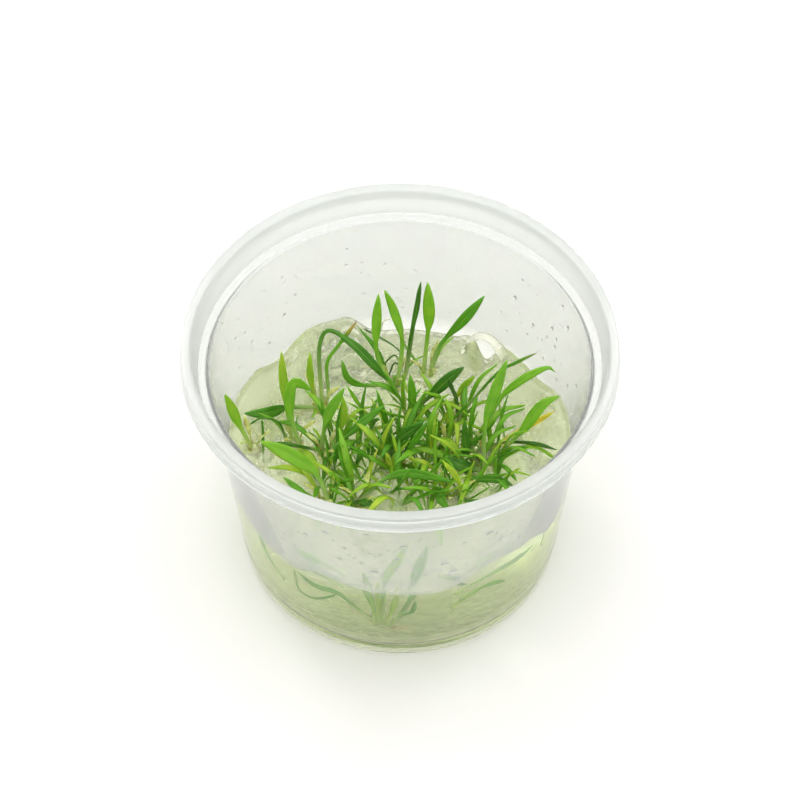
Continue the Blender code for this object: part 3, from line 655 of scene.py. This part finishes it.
def put(piece, nodes=()):
    """Says what carries a piece and hides the nodes that it stands for."""
    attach(piece, BODY)
    if nodes:
        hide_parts(*nodes)


def new_tree(name, inputs):
    """A geometry tree with named inputs, and the node that hands them out."""
    tree = bpy.data.node_groups.new(name, "GeometryNodeTree")
    tree.interface.new_socket("Geometry", in_out="INPUT", socket_type="NodeSocketGeometry")
    for label, kind in inputs.items():
        tree.interface.new_socket(label, in_out="INPUT", socket_type="NodeSocket" + kind)
    tree.interface.new_socket("Geometry", in_out="OUTPUT", socket_type="NodeSocketGeometry")
    return tree, add_node(tree, "NodeGroupInput").outputs


def close_tree(tree, geometry, material):
    """Ends a tree: real geometry with one material."""
    real = add_node(tree, "GeometryNodeRealizeInstances", {"Geometry": geometry})
    painted = add_node(tree, "GeometryNodeSetMaterial", {"Geometry": real, "Material": material})
    add_node(tree, "NodeGroupOutput", {"Geometry": painted})


def run_tree(name, mesh, tree, values, materials):
    """Runs a tree on a mesh and keeps what comes out as a plain mesh."""
    source = add_object(name + "_source", mesh)
    modifier = source.modifiers.new("tree", "NODES")
    modifier.node_group = tree
    for item in tree.interface.items_tree:
        if item.in_out == "INPUT" and item.name in values:
            modifier[item.identifier] = values[item.name]
    graph = bpy.context.evaluated_depsgraph_get()
    result = bpy.data.meshes.new_from_object(
        source.evaluated_get(graph), preserve_all_data_layers=True, depsgraph=graph
    )
    source.modifiers.remove(modifier)
    bpy.data.objects.remove(source, do_unlink=True)
    return finish_mesh(name, result, materials)


def wall_radius(height, inset=0.0):
    return FOOT_RADIUS + (WALL_TOP_RADIUS - FOOT_RADIUS) * height / LEDGE_HEIGHT - inset


def rounded(outline):
    """An outline of (radius, height, fillet) with each corner eased by its fillet."""
    eased = []
    for index, (radius, height, fillet) in enumerate(outline):
        corner = Vector((radius, height))
        if fillet == 0.0:
            eased.append(corner)
            continue
        before = Vector(outline[index - 1][:2])
        after = Vector(outline[(index + 1) % len(outline)][:2])
        start = corner + (before - corner).normalized() * min(fillet, 0.48 * (before - corner).length)
        end = corner + (after - corner).normalized() * min(fillet, 0.48 * (after - corner).length)
        for step in range(CORNER_STEPS + 1):
            t = step / CORNER_STEPS
            eased.append(start * (1 - t) ** 2 + corner * 2 * t * (1 - t) + end * t * t)
    return eased


def cup_outline():
    """Up the outside, over the lip, down the inside, and back under."""
    under_ledge = LEDGE_HEIGHT - WALL
    foot_inside = FOOT_RADIUS - FOOT_RING_WIDTH
    skirt_bottom = CUP_HEIGHT - SKIRT_HEIGHT
    skirt = RIM_RADIUS - BEAD
    return [
        (foot_inside, 0.0, 0.3),
        (wall_radius(0.0), 0.0, 0.9),
        (wall_radius(RING_HEIGHT - RING_HALF), RING_HEIGHT - RING_HALF, 0.1),
        (wall_radius(RING_HEIGHT) + RING_PROUD, RING_HEIGHT, 0.2),
        (wall_radius(RING_HEIGHT + RING_HALF), RING_HEIGHT + RING_HALF, 0.1),
        (wall_radius(under_ledge), under_ledge, 0.5),
        (COLLAR_FOOT_RADIUS + WALL, under_ledge, 0.6),
        (COLLAR_TOP_RADIUS + WALL, CUP_HEIGHT - WALL, 0.4),
        (skirt - WALL, CUP_HEIGHT - WALL, 0.4),
        (skirt - WALL, skirt_bottom, 0.2),
        (RIM_RADIUS, skirt_bottom, 0.3),
        (RIM_RADIUS, skirt_bottom + 0.9, 0.3),
        (RIM_RADIUS - 0.7, skirt_bottom + 1.15, 0.2),
        (skirt + 0.1, skirt_bottom + 1.4, 0.2),
        (skirt + 0.1, CUP_HEIGHT - 1.5, 0.2),
        (skirt - 0.4, CUP_HEIGHT - 1.2, 0.2),
        (skirt, CUP_HEIGHT - 0.9, 0.2),
        (skirt, CUP_HEIGHT, 0.7),
        (COLLAR_TOP_RADIUS + 0.1, CUP_HEIGHT, 0.6),
        (COLLAR_FOOT_RADIUS, LEDGE_HEIGHT, 0.6),
        (wall_radius(LEDGE_HEIGHT, WALL), LEDGE_HEIGHT, 0.4),
        (wall_radius(FLOOR_TOP, WALL), FLOOR_TOP, FLOOR_FILLET),
        (0.0, FLOOR_TOP, 0.0),
        (0.0, FLOOR_TOP - WALL, 0.0),
        (foot_inside - 0.4, FLOOR_TOP - WALL, 1.0),
    ]


def turned(outline, steps, closed):
    """Points and faces of an outline turned about +Z; a point on the axis is one vertex."""
    points = []
    rings = []
    for radius, height in outline:
        count = 1 if radius < 1e-6 else steps
        rings.append([len(points) + step % count for step in range(steps)])
        for step in range(count):
            angle = 2.0 * math.pi * step / steps
            points.append(around(radius, angle, height))
    faces = []
    pairs = list(zip(rings, rings[1:])) + ([(rings[-1], rings[0])] if closed else [])
    for lower, upper in pairs:
        for step in range(steps):
            after = (step + 1) % steps
            corners = (lower[step], lower[after], upper[after], upper[step])
            corners = tuple(dict.fromkeys(corners))
            if len(corners) > 2:
                faces.append(corners)
    return points, faces


def make_cup(material):
    points, faces = turned(rounded(cup_outline()), CUP_STEPS, True)
    cup = finish_mesh("cup_shell", new_mesh("cup_shell", points, faces=faces), [material])
    cup.data.set_sharp_from_angle(angle=math.radians(50))
    put(cup, ["cup"])


def contact_height(angle):
    degrees = (math.degrees(angle) + 180.0) % 360.0 - 180.0
    first_angle, first_height = CONTACT_HEIGHTS[0]
    marks = (*CONTACT_HEIGHTS, (first_angle + 360, first_height))
    (start, low), (end, high) = next(span for span in zip(marks, marks[1:]) if degrees <= span[1][0])
    return low + (high - low) * smooth_step(start, end, degrees)


def gel_level(x, y):
    """The smooth height of the gel's top under a point."""
    share = math.hypot(x, y) / wall_radius(GEL_LEVEL, WALL)
    edge = contact_height(math.atan2(y, x))
    level = GEL_LEVEL + (edge - GEL_LEVEL) * smooth_step(EDGE_START, 1.0, share)
    fade = 1.0 - smooth_step(0.85, 1.0, share)
    for lump_x, lump_y, spread, rise in LUMPS:
        distance = math.hypot(x - lump_x, y - lump_y) / spread
        level += rise * math.exp(-distance * distance) * fade
    return level


def gel_top(x, y):
    """The gel's top with its torn lumps, waves and the climb at the wall."""
    place = Vector((x, y, 0.0))
    share = math.hypot(x, y) / wall_radius(GEL_LEVEL, WALL)
    torn = 1.0
    for patch_x, patch_y, spread in SMOOTH_PATCHES:
        torn *= 1.0 - math.exp(-(((x - patch_x) ** 2 + (y - patch_y) ** 2) / spread**2) ** 2)
    bent = place + BEND * noise.noise_vector(place / BEND_WIDTH)
    distances, cells = noise.voronoi(bent / CHUNK)
    offset = bent / CHUNK - cells[0]
    lean = noise.noise_vector(cells[0] * 7.3)
    plateau = noise.noise(cells[0] * 3.7) + lean.x * offset.x + lean.y * offset.y
    crease = 1.0 - smooth_step(0.0, 0.28, distances[1] - distances[0])
    detail = torn * (CHUNK_RISE * plateau * (1.0 - crease) - CREASE * crease)
    detail += (0.3 + 0.5 * torn) * noise.fractal(place / WAVE_WIDTH, 1.0, 2.0, 3)
    gaps, crumbs = noise.voronoi((place + 0.5 * noise.noise_vector(place / 1.4)) / CRUMB)
    edge = smooth_step(0.0, 0.3, gaps[1] - gaps[0])
    detail += CRUMB_RISE * torn * edge * (0.4 + 0.6 * noise.noise(crumbs[0] * 5.1))
    fade = 1.0 - 0.8 * smooth_step(0.9, 1.0, share)
    return gel_level(x, y) + detail * fade + MENISCUS * smooth_step(0.972, 1.0, share)


def gel_points():
    """Points and faces of the gel: its lumpy top, its side on the wall and its foot."""
    foot_outline = (
        (wall_radius(GEL_LEVEL, WALL), GEL_LEVEL, 0.0),
        (wall_radius(FLOOR_TOP, WALL), FLOOR_TOP + GEL_GRIP, FLOOR_FILLET),
        (0.0, FLOOR_TOP + GEL_GRIP, 0.0),
    )
    foot = rounded(foot_outline)[1:-1]
    angles = [2.0 * math.pi * step / GEL_STEPS for step in range(GEL_STEPS)]
    loose = [smooth_step(-0.3, 0.3, math.sin(angle)) for angle in angles]
    films = [GEL_GRIP + (GEL_FILM - GEL_GRIP) * share for share in loose]
    points = [Vector((0.0, 0.0, gel_top(0.0, 0.0)))]
    for ring in range(1, GEL_RINGS + 1):
        share = math.sin(0.5 * math.pi * ring / GEL_RINGS)
        for angle, film in zip(angles, films):
            reach = wall_radius(GEL_LEVEL, WALL + film) * share
            height = gel_top(reach * math.cos(angle), reach * math.sin(angle))
            radius = wall_radius(height, WALL + film) * share
            points.append(around(radius, angle, height))
    rim = points[-GEL_STEPS:]
    for share in (0.25, 0.5, 0.75):
        for edge, angle, film in zip(rim, angles, films):
            height = edge.z + (foot[0].y - edge.z) * share
            radius = wall_radius(height, WALL + film)
            points.append(around(radius, angle, height))
    for outline_radius, height in foot:
        for angle, film in zip(angles, films):
            radius = outline_radius * (1.0 - film / foot[0].x)
            points.append(around(radius, angle, height))
    points.append(Vector((0.0, 0.0, foot[-1].y)))
    faces = []
    rows = (len(points) - 2) // GEL_STEPS
    for step in range(GEL_STEPS):
        after = (step + 1) % GEL_STEPS
        faces.append((0, 1 + step, 1 + after))
        last = 1 + (rows - 1) * GEL_STEPS
        faces.append((len(points) - 1, last + after, last + step))
        for row in range(rows - 1):
            low = 1 + row * GEL_STEPS
            faces.append((low + step, low + GEL_STEPS + step, low + GEL_STEPS + after, low + after))
    return points, faces


def fold_body():
    """The torn arch of gel by the back wall, a bent strip with ragged edges."""
    stations = sweep_points(FOLD_PATH, FOLD_STATIONS)
    body = Body()
    rings = []
    for place, way in zip(stations, directions(stations)):
        outward = Vector((place.x, place.y, 0.0)).normalized()
        across = (outward - way * outward.dot(way)).normalized()
        face = way.cross(across)
        ragged = 1.0 + 0.35 * noise.noise(place / 1.5)
        ring = []
        for step in range(FOLD_SIDES):
            turn = 2.0 * math.pi * step / FOLD_SIDES
            offset = across * 0.5 * FOLD_WIDTH * math.cos(turn)
            offset += face * 0.5 * FOLD_THICKNESS * math.sin(turn)
            ring.append(place + offset * ragged)
        rings.append(ring)
    body.add_rings(rings, [[(0.0, 0.0)] * FOLD_SIDES] * FOLD_STATIONS)
    return body


def make_gel(material):
    points, faces = gel_points()
    block = finish_mesh("gel_block", new_mesh("gel_block", points, faces=faces), [material])
    fold = make_piece("gel_fold", fold_body(), [material])
    join = block.modifiers.new("fold", "BOOLEAN")
    join.operation = "UNION"
    join.object = fold
    graph = bpy.context.evaluated_depsgraph_get()
    joined = bpy.data.meshes.new_from_object(block.evaluated_get(graph), depsgraph=graph)
    block.modifiers.clear()
    block.data = joined
    bpy.data.objects.remove(fold, do_unlink=True)
    joined.shade_smooth()
    joined.set_sharp_from_angle(angle=math.radians(55))
    put(block, ["gel"])


def sweep_points(points, count):
    """Evenly spaced places on a smooth curve through the points."""
    knots = [Vector(point) for point in points]
    ends = [2 * knots[0] - knots[1]] + knots + [2 * knots[-1] - knots[-2]]
    fine = []
    for index in range(len(knots) - 1):
        before, start, end, after = ends[index : index + 4]
        for step in range(CURVE_STEPS):
            t = step / CURVE_STEPS
            place = 0.5 * (
                2 * start + (end - before) * t + (2 * before - 5 * start + 4 * end - after) * t**2
                + (3 * start - before - 3 * end + after) * t**3
            )
            fine.append(place)
    fine.append(knots[-1])
    lengths = [0.0]
    for one, other in zip(fine, fine[1:]):
        lengths.append(lengths[-1] + (other - one).length)
    stations = []
    index = 0
    for step in range(count):
        target = lengths[-1] * step / (count - 1)
        while index < len(fine) - 2 and lengths[index + 1] < target:
            index += 1
        share = (target - lengths[index]) / (lengths[index + 1] - lengths[index])
        stations.append(fine[index].lerp(fine[index + 1], share))
    return stations


def directions(stations):
    found = []
    for index in range(len(stations)):
        ahead = stations[min(index + 1, len(stations) - 1)]
        behind = stations[max(index - 1, 0)]
        found.append((ahead - behind).normalized())
    return found


def leaf_half_width(share, width, stalk, stalk_width):
    blade = max(share - stalk, 0.0) / (1.0 - stalk)
    lance = math.sin(math.pi * blade**1.1) ** 0.75 if 0.0 < blade < 1.0 else 0.0
    tip = TIP_WIDTH + (stalk_width - TIP_WIDTH) * (1.0 - smooth_step(0.7, 1.0, share))
    return 0.5 * max(min(tip, 0.8 * width), width * lance)


def add_leaf(
    body, width, stalk, face_angle, points, count, tone,
    dry=0.0, kind=0, across=ACROSS, stalk_width=STALK_WIDTH,
):
    """A thin stalk that widens into a channelled, gently twisted lance-shaped blade."""
    stations = sweep_points(points, count)
    turn = math.radians(face_angle)
    looks_to = around(1.0, turn, 0.8)
    own = 1.7 * stations[0].x + 2.3 * stations[0].y + face_angle
    twist = math.radians(TWIST) * math.sin(own)
    rings = []
    uv_rings = []
    for index, (place, way) in enumerate(zip(stations, directions(stations))):
        share = index / (count - 1)
        face = (looks_to - way * looks_to.dot(way)).normalized()
        face = Matrix.Rotation(twist * smooth_step(stalk, 1.0, share), 3, way) @ face
        side = way.cross(face)
        half = leaf_half_width(share, width, stalk, stalk_width)
        bladed = smooth_step(0.5 * stalk_width, 0.5 * width, half) if width > stalk_width else 0.0
        thick = stalk_width + (min(BLADE_THICKNESS, 0.6 * stalk_width) - stalk_width) * bladed
        thick = min(thick, 2.0 * half)
        upper = []
        lower = []
        for part in across:
            wave = RIPPLE * half * part * part * math.sin(9.0 * share + own + (2.0 if part > 0 else 0.0))
            rise = CHANNEL * half * abs(part) ** 1.4 + wave
            middle = place + side * half * part + face * rise * bladed
            skin = 0.5 * thick * math.sqrt(max(1.0 - part * part, 0.0)) + 0.02
            upper.append((middle + face * skin * (1.0 - 0.25 * bladed * (part == 0.0)), part))
            lower.append((middle - face * skin * (1.0 + 0.3 * bladed * (part == 0.0)), part))
        loop = upper + lower[::-1][1:-1]
        rings.append([point for point, _ in loop])
        uv_rings.append([(0.5 + 0.5 * part, share) for _, part in loop])
    body.add_rings(rings, uv_rings, tone, dry, kind)


def make_leaves(material):
    for number, (crown, width, stalk, face_angle, tone, foot, points) in enumerate(LEAVES, 1):
        x, y = CROWNS[crown - 1][:2]
        level = gel_level(x, y)
        start = (Vector((x, y, level - 1.0)) + Vector((*foot, level + FOOT))) * 0.5
        start.z = level - 1.0
        midrib = (start, (*foot, level + FOOT), *points)
        body = Body()
        add_leaf(body, width, stalk, face_angle, midrib, LEAF_STATIONS, tone, DRY_TIPS.get(number, 0.0))
        leaf = make_piece(f"leaf_blade_{number:02d}", body, [material])
        put(leaf, [f"leaf_{number:02d}"])


def make_crowns(tissue, leaf):
    """Each crown's core, a lumpy turned body, with the three small leaves that it bears."""
    rng = random.Random(SEED)
    for number, (x, y, size, first_angle) in enumerate(CROWNS, 1):
        level = gel_level(x, y)
        body = Body()
        outline = rounded([(radius * size, level + height, 0.5) for radius, height in CROWN_PROFILE[1:-1]])
        rings = []
        for radius, height in outline:
            ring = []
            for step in range(CROWN_STEPS):
                angle = 2.0 * math.pi * step / CROWN_STEPS
                place = Vector((x + radius * math.cos(angle), y + radius * math.sin(angle), height))
                ring.append(place + CROWN_LUMP * size * noise.noise_vector(place / CROWN_LUMP_WIDTH))
            rings.append(ring)
        body.add_rings(rings, [[(0.5, 0.1)] * CROWN_STEPS] * len(rings))
        for turn, length, width in SMALL_LEAVES:
            angle = math.radians(first_angle + turn)
            outward = around(1.0, angle, 0.0)
            foot = Vector((x, y, level - SMALL_LEAF_SINK)) + outward * 0.8 * size
            tip = foot + (outward * SMALL_LEAF_REACH + Vector((0, 0, SMALL_LEAF_RISE))) * length
            bow = outward * SMALL_LEAF_REACH / 3.0 + Vector((0, 0, 0.6 * SMALL_LEAF_RISE))
            middle = foot + bow * length
            facing = math.degrees(angle) + 180.0
            tone = rng.uniform(0.3, 0.8)
            midrib = (foot, middle, tip)
            add_leaf(
                body, 0.85 * width, SMALL_LEAF_STALK, facing, midrib, SMALL_STATIONS, tone,
                kind=1, stalk_width=SMALL_STALK_WIDTH,
            )
        crown = make_piece(f"crown_core_{number:02d}", body, [tissue, leaf])
        put(crown, [f"crown_{number:02d}"])


def plant_places():
    """Every place that bears small leaves: x, y and how many."""
    places = [(x, y, count) for (x, y, _, _), count in zip(CROWNS, CROWN_LEAVES)]
    for index in range(PLANTLETS):
        reach = math.sqrt((index + 0.5) / PLANTLETS)
        x = PLANTLET_CENTRE[0] + PLANTLET_REACH[0] * reach * math.cos(index * GOLDEN_ANGLE)
        y = PLANTLET_CENTRE[1] + PLANTLET_REACH[1] * reach * math.sin(index * GOLDEN_ANGLE)
        places.append((x, y, PLANTLET_LEAVES))
    return places


def leaf_pattern(number, width, middle, tip):
    """A small leaf that stands on the origin and bends over towards -Y."""
    body = Body()
    midrib = (
        (0, 0.8, SMALL_LEAF_ROOT), (0, 0, 0), (0, -0.2, 2.5),
        (0.3, -middle[0], middle[1]), (0.1, -tip[0], tip[1]),
    )
    add_leaf(
        body, width, SMALL_LEAF_STALK, 90.0, midrib, PATTERN_STATIONS, 0.5,
        across=(-1.0, -0.5, 0.0, 0.5, 1.0), stalk_width=SMALL_STALK_WIDTH,
    )
    pattern = make_piece(f"leaf_pattern_{number}", body, [])
    pattern.data.attributes.remove(pattern.data.attributes["tone"])
    return pattern


def tuft_tree(patterns, material):
    """Small leaves round each point, leaning outwards at random."""
    sizes = {
        "Shortest": "Float", "Longest": "Float", "Pattern Length": "Float", "Least Lean": "Float",
        "Most Lean": "Float", "Darkest": "Float", "Palest": "Float", "Spread": "Float", "Seed": "Int",
    }
    tree, given = new_tree("small_leaves", sizes)
    amount = add_node(tree, "GeometryNodeInputNamedAttribute", {"Name": "leaves"}, data_type="INT")
    feet = add_node(
        tree, "GeometryNodeDuplicateElements",
        {"Geometry": given["Geometry"], "Amount": amount}, domain="POINT",
    )
    choice = add_node(tree, "GeometryNodeGeometryToInstance")
    for pattern in reversed(patterns):
        kind = add_node(tree, "GeometryNodeObjectInfo", {"Object": pattern, "As Instance": True})
        tree.links.new(kind.outputs["Geometry"], choice.inputs["Geometry"])

    # Each random value has a seed of its own: the tree's seed and a step
    def draw(low, high, step, data_type="FLOAT"):
        first = {"FLOAT": 2, "INT": 4}[data_type]
        seed = add_node(tree, "ShaderNodeMath", {0: given["Seed"], 1: step}, operation="ADD")
        links = {first: low, first + 1: high, "Seed": seed}
        value = add_node(tree, "FunctionNodeRandomValue", links, data_type=data_type)
        return value.outputs[{"FLOAT": 1, "INT": 2}[data_type]]

    turn = draw(0.0, 2.0 * math.pi, 0.0)
    lean = draw(given["Least Lean"], given["Most Lean"], 1.0)
    length = draw(given["Shortest"], given["Longest"], 2.0)
    scale = add_node(tree, "ShaderNodeMath", {0: length, 1: given["Pattern Length"]}, operation="DIVIDE")
    rotation = add_node(tree, "ShaderNodeCombineXYZ", {"X": lean, "Z": turn})
    leaves = add_node(
        tree, "GeometryNodeInstanceOnPoints",
        {
            "Points": feet, "Instance": choice,
            "Pick Instance": True, "Instance Index": draw(0, len(patterns) - 1, 3.0, "INT"),
            "Rotation": rotation, "Scale": scale,
        },
    )
    outward = add_node(tree, "ShaderNodeMath", {0: given["Spread"], 1: -1.0}, operation="MULTIPLY")
    offset = add_node(tree, "ShaderNodeCombineXYZ", {"Y": outward})
    spread = add_node(tree, "GeometryNodeTranslateInstances", {"Instances": leaves, "Translation": offset})
    toned = add_node(
        tree, "GeometryNodeStoreNamedAttribute",
        {"Geometry": spread, "Name": "tone", "Value": draw(given["Darkest"], given["Palest"], 4.0)},
        data_type="FLOAT", domain="INSTANCE",
    )
    close_tree(tree, toned, material)
    return tree


def make_small_leaves(material):
    """The many small leaves that fill the gaps between the large ones."""
    patterns = [leaf_pattern(number, *shape) for number, shape in enumerate(LEAF_PATTERNS)]
    places = plant_places()
    mesh = new_mesh("plant_places", [Vector((x, y, gel_top(x, y))) for x, y, _ in places])
    store_values(mesh, {"leaves": [count for _, _, count in places]}, "INT")
    values = {
        "Shortest": SHORTEST_LEAF * MM, "Longest": LONGEST_LEAF * MM,
        "Pattern Length": PATTERN_LENGTH * MM, "Least Lean": math.radians(LEAST_LEAN),
        "Most Lean": math.radians(MOST_LEAN), "Darkest": DARKEST, "Palest": PALEST,
        "Spread": TUFT_SPREAD * MM, "Seed": SEED,
    }
    leaves = run_tree("small_leaves", mesh, tuft_tree(patterns, material), values, [material])
    for pattern in patterns:
        bpy.data.objects.remove(pattern, do_unlink=True)
    put(leaves)


def make_thin_leaves(material):
    """Bare stalks above the gel, and the plants that stand in it by the front wall."""
    stalks = Body()
    for thickness, tone, points in STALKS:
        add_leaf(stalks, thickness, 0.9, -90.0, points, STALK_STATIONS, tone)
    put(make_piece("bare_stalks", stalks, [material]))
    front = Body()
    for width, tone, points in FRONT_LEAVES:
        add_leaf(front, width, FRONT_STALK, -90.0, points, FRONT_STATIONS, tone)
    put(make_piece("front_plants", front, [material]))


def thread_tree(material):
    """Round threads along the edges of a mesh, thinner towards the end."""
    tree, given = new_tree("threads", {"Thickness": "Float", "Sides": "Int", "Rings": "Int"})
    curve = add_node(tree, "GeometryNodeMeshToCurve", {"Mesh": given["Geometry"]})
    even = add_node(tree, "GeometryNodeResampleCurve", {"Curve": curve, "Count": given["Rings"]})
    share = add_node(tree, "GeometryNodeSplineParameter")
    taper = add_node(tree, "ShaderNodeMapRange", {"Value": share, "To Min": 1.0, "To Max": 0.35})
    radius = add_node(tree, "ShaderNodeMath", {0: given["Thickness"], 1: 0.5}, operation="MULTIPLY")
    ring = add_node(
        tree, "GeometryNodeCurvePrimitiveCircle",
        {"Resolution": given["Sides"], "Radius": radius},
    )
    skin = add_node(
        tree, "GeometryNodeCurveToMesh",
        {"Curve": even, "Profile Curve": ring, "Scale": taper, "Fill Caps": True},
    )
    close_tree(tree, skin, material)
    return tree


def root_paths():
    """Roots that wander down from each crown, and the few threads above the gel."""
    rng = random.Random(SEED)
    paths = [sweep_points(points, THREAD_STATIONS) for points in THREADS]
    starts = [(x, y, gel_level(x, y) - ROOT_DEPTH) for x, y, _, _ in CROWNS] + [FRONT_CROWN] * 3
    for x, y, z in starts:
        for _ in range(ROOTS_EACH):
            angle = rng.uniform(0.0, 2.0 * math.pi)
            way = around(1.0, angle, -rng.uniform(0.2, 1.2)).normalized()
            place = Vector((x, y, z))
            path = [place.copy()]
            for _ in range(ROOT_STEPS):
                way += 0.5 * noise.noise_vector(place / 3.0 + Vector((angle, 0, 0)))
                way.normalize()
                place = place + way * ROOT_LENGTH * rng.uniform(0.6, 1.0) / ROOT_STEPS
                reach = math.hypot(place.x, place.y)
                if place.z < FLOOR_TOP + ROOT_CLEARANCE or reach > wall_radius(place.z, 3.0):
                    break
                path.append(place.copy())
            if len(path) > 3:
                paths.append(path)
    return paths


def make_roots(material):
    paths = root_paths()
    edges = []
    first = 0
    for path in paths:
        edges += [(first + step, first + step + 1) for step in range(len(path) - 1)]
        first += len(path)
    mesh = new_mesh("root_paths", [point for path in paths for point in path], edges)
    values = {"Thickness": ROOT_THICKNESS * MM, "Sides": ROOT_SIDES, "Rings": ROOT_RINGS}
    put(run_tree("roots", mesh, thread_tree(material), values, [material]))


def drop_tree(pattern, material):
    """A bead of water on each point, turned to the wall and stretched by its own size."""
    tree, given = new_tree("drops", {"Flatness": "Float"})
    readings = {
        name: add_node(tree, "GeometryNodeInputNamedAttribute", {"Name": name}).outputs["Attribute"]
        for name in ("turn", "wide", "long")
    }
    wide = readings["wide"]
    thick = add_node(tree, "ShaderNodeMath", {0: wide, 1: given["Flatness"]}, operation="MULTIPLY")
    size = add_node(tree, "ShaderNodeCombineXYZ", {"X": thick, "Y": wide, "Z": readings["long"]})
    rotation = add_node(tree, "ShaderNodeCombineXYZ", {"Z": readings["turn"]})
    bead = add_node(tree, "GeometryNodeObjectInfo", {"Object": pattern, "As Instance": True})
    beads = add_node(
        tree, "GeometryNodeInstanceOnPoints",
        {
            "Points": given["Geometry"], "Instance": bead.outputs["Geometry"],
            "Rotation": rotation, "Scale": size,
        },
    )
    close_tree(tree, beads, material)
    return tree


def make_drops(material):
    """Beads and mist on the inside of the wall."""
    rng = random.Random(SEED)
    drops = list(DROPS)
    for centre, half, low, high, count in MIST:
        for _ in range(count):
            width = 0.3 + 0.5 * rng.random() ** 3
            degrees = rng.gauss(centre, 0.6 * half)
            drops.append((degrees, rng.uniform(low, high), width, width * rng.uniform(0.9, 1.5)))
    drops = [drop for drop in drops if drop[1] > contact_height(math.radians(drop[0])) + DROP_CLEARANCE]
    bead = plain_mesh("drop_pattern", bmesh.ops.create_icosphere, subdivisions=2, radius=0.5)
    pattern = finish_mesh("drop_pattern", bead, [])
    points = []
    for degrees, height, _, _ in drops:
        angle = math.radians(degrees)
        radius = wall_radius(height, WALL)
        points.append(around(radius, angle, height))
    places = new_mesh("drop_places", points)
    store_values(places, {
        "turn": [math.radians(drop[0]) for drop in drops],
        "wide": [drop[2] * MM for drop in drops],
        "long": [drop[3] * MM for drop in drops],
    })
    values = {"Flatness": 2.0 * DROP_HEIGHT}
    beads = run_tree("wall_drops", places, drop_tree(pattern, material), values, [material])
    bpy.data.objects.remove(pattern, do_unlink=True)
    put(beads)


def add_light(name, place, size, power, colour):
    data = bpy.data.lights.new(name, "AREA")
    data.shape = "DISK"
    data.size = size
    data.energy = power
    data.color = linear(colour)[:3]
    light = add_object(name, data)
    light.location = place
    light.rotation_euler = (-Vector(place)).to_track_quat("-Z", "Y").to_euler()


def add_surroundings():
    """A pale floor, a white tent lit from its top, and small lamps for the glints."""
    ground = plain_mesh("floor", bmesh.ops.create_grid, x_segments=1, y_segments=1, size=GROUND_REACH)
    ground.materials.append(matte_floor())
    floor = add_object("floor", ground)
    world = bpy.data.worlds.new("white_tent")
    world.use_nodes = True
    tree = world.node_tree
    tree.nodes.clear()
    way = add_node(tree, "ShaderNodeTexCoord").outputs["Generated"]
    height = add_node(tree, "ShaderNodeSeparateXYZ", {"Vector": way}).outputs["Z"]
    tent = add_node(
        tree, "ShaderNodeValToRGB", {"Fac": height},
        stops=((0.0, "#bcbcba"), (0.3, "#bcbcba"), (0.8, "#f0efed"), (1.0, "#fcfcfc")),
    )
    sky = add_node(tree, "ShaderNodeBackground", {"Color": tent, "Strength": TENT_STRENGTH})
    add_node(tree, "ShaderNodeOutputWorld", {"Surface": sky})
    bpy.context.scene.world = world
    for lamp in LAMPS:
        add_light(*lamp)


def add_camera():
    data = bpy.data.cameras.new("camera")
    data.lens = LENS
    data.sensor_width = SENSOR
    data.clip_start = 0.02
    camera = add_object("camera", data)
    angle = math.radians(VIEW_ELEVATION)
    back = Vector((0.0, -math.cos(angle), math.sin(angle)))
    camera.location = (Vector((0.0, 0.0, VIEW_HEIGHT)) + back * VIEW_DISTANCE) * MM
    camera.rotation_euler = (math.radians(90.0 - VIEW_ELEVATION), 0.0, 0.0)
    scene = bpy.context.scene
    scene.camera = camera
    scene.view_settings.view_transform = "Standard"
    scene.cycles.blur_glossy = 0.0
    scene.cycles.max_bounces = LIGHT_BOUNCES
    scene.cycles.transmission_bounces = LIGHT_BOUNCES
    scene.cycles.diffuse_bounces = LIGHT_BOUNCES // 2


def main():
    # The noise that bends the lumps and the roots starts the same way each run
    noise.seed_set(SEED)
    add_camera()
    add_surroundings()
    leaf = leaf_skin()
    make_cup(moulded_polypropylene())
    make_gel(agar_gel())
    make_leaves(leaf)
    make_crowns(crown_tissue(), leaf)
    make_small_leaves(leaf)
    make_thin_leaves(leaf)
    make_roots(root_skin())
    make_drops(condensed_water())


main()
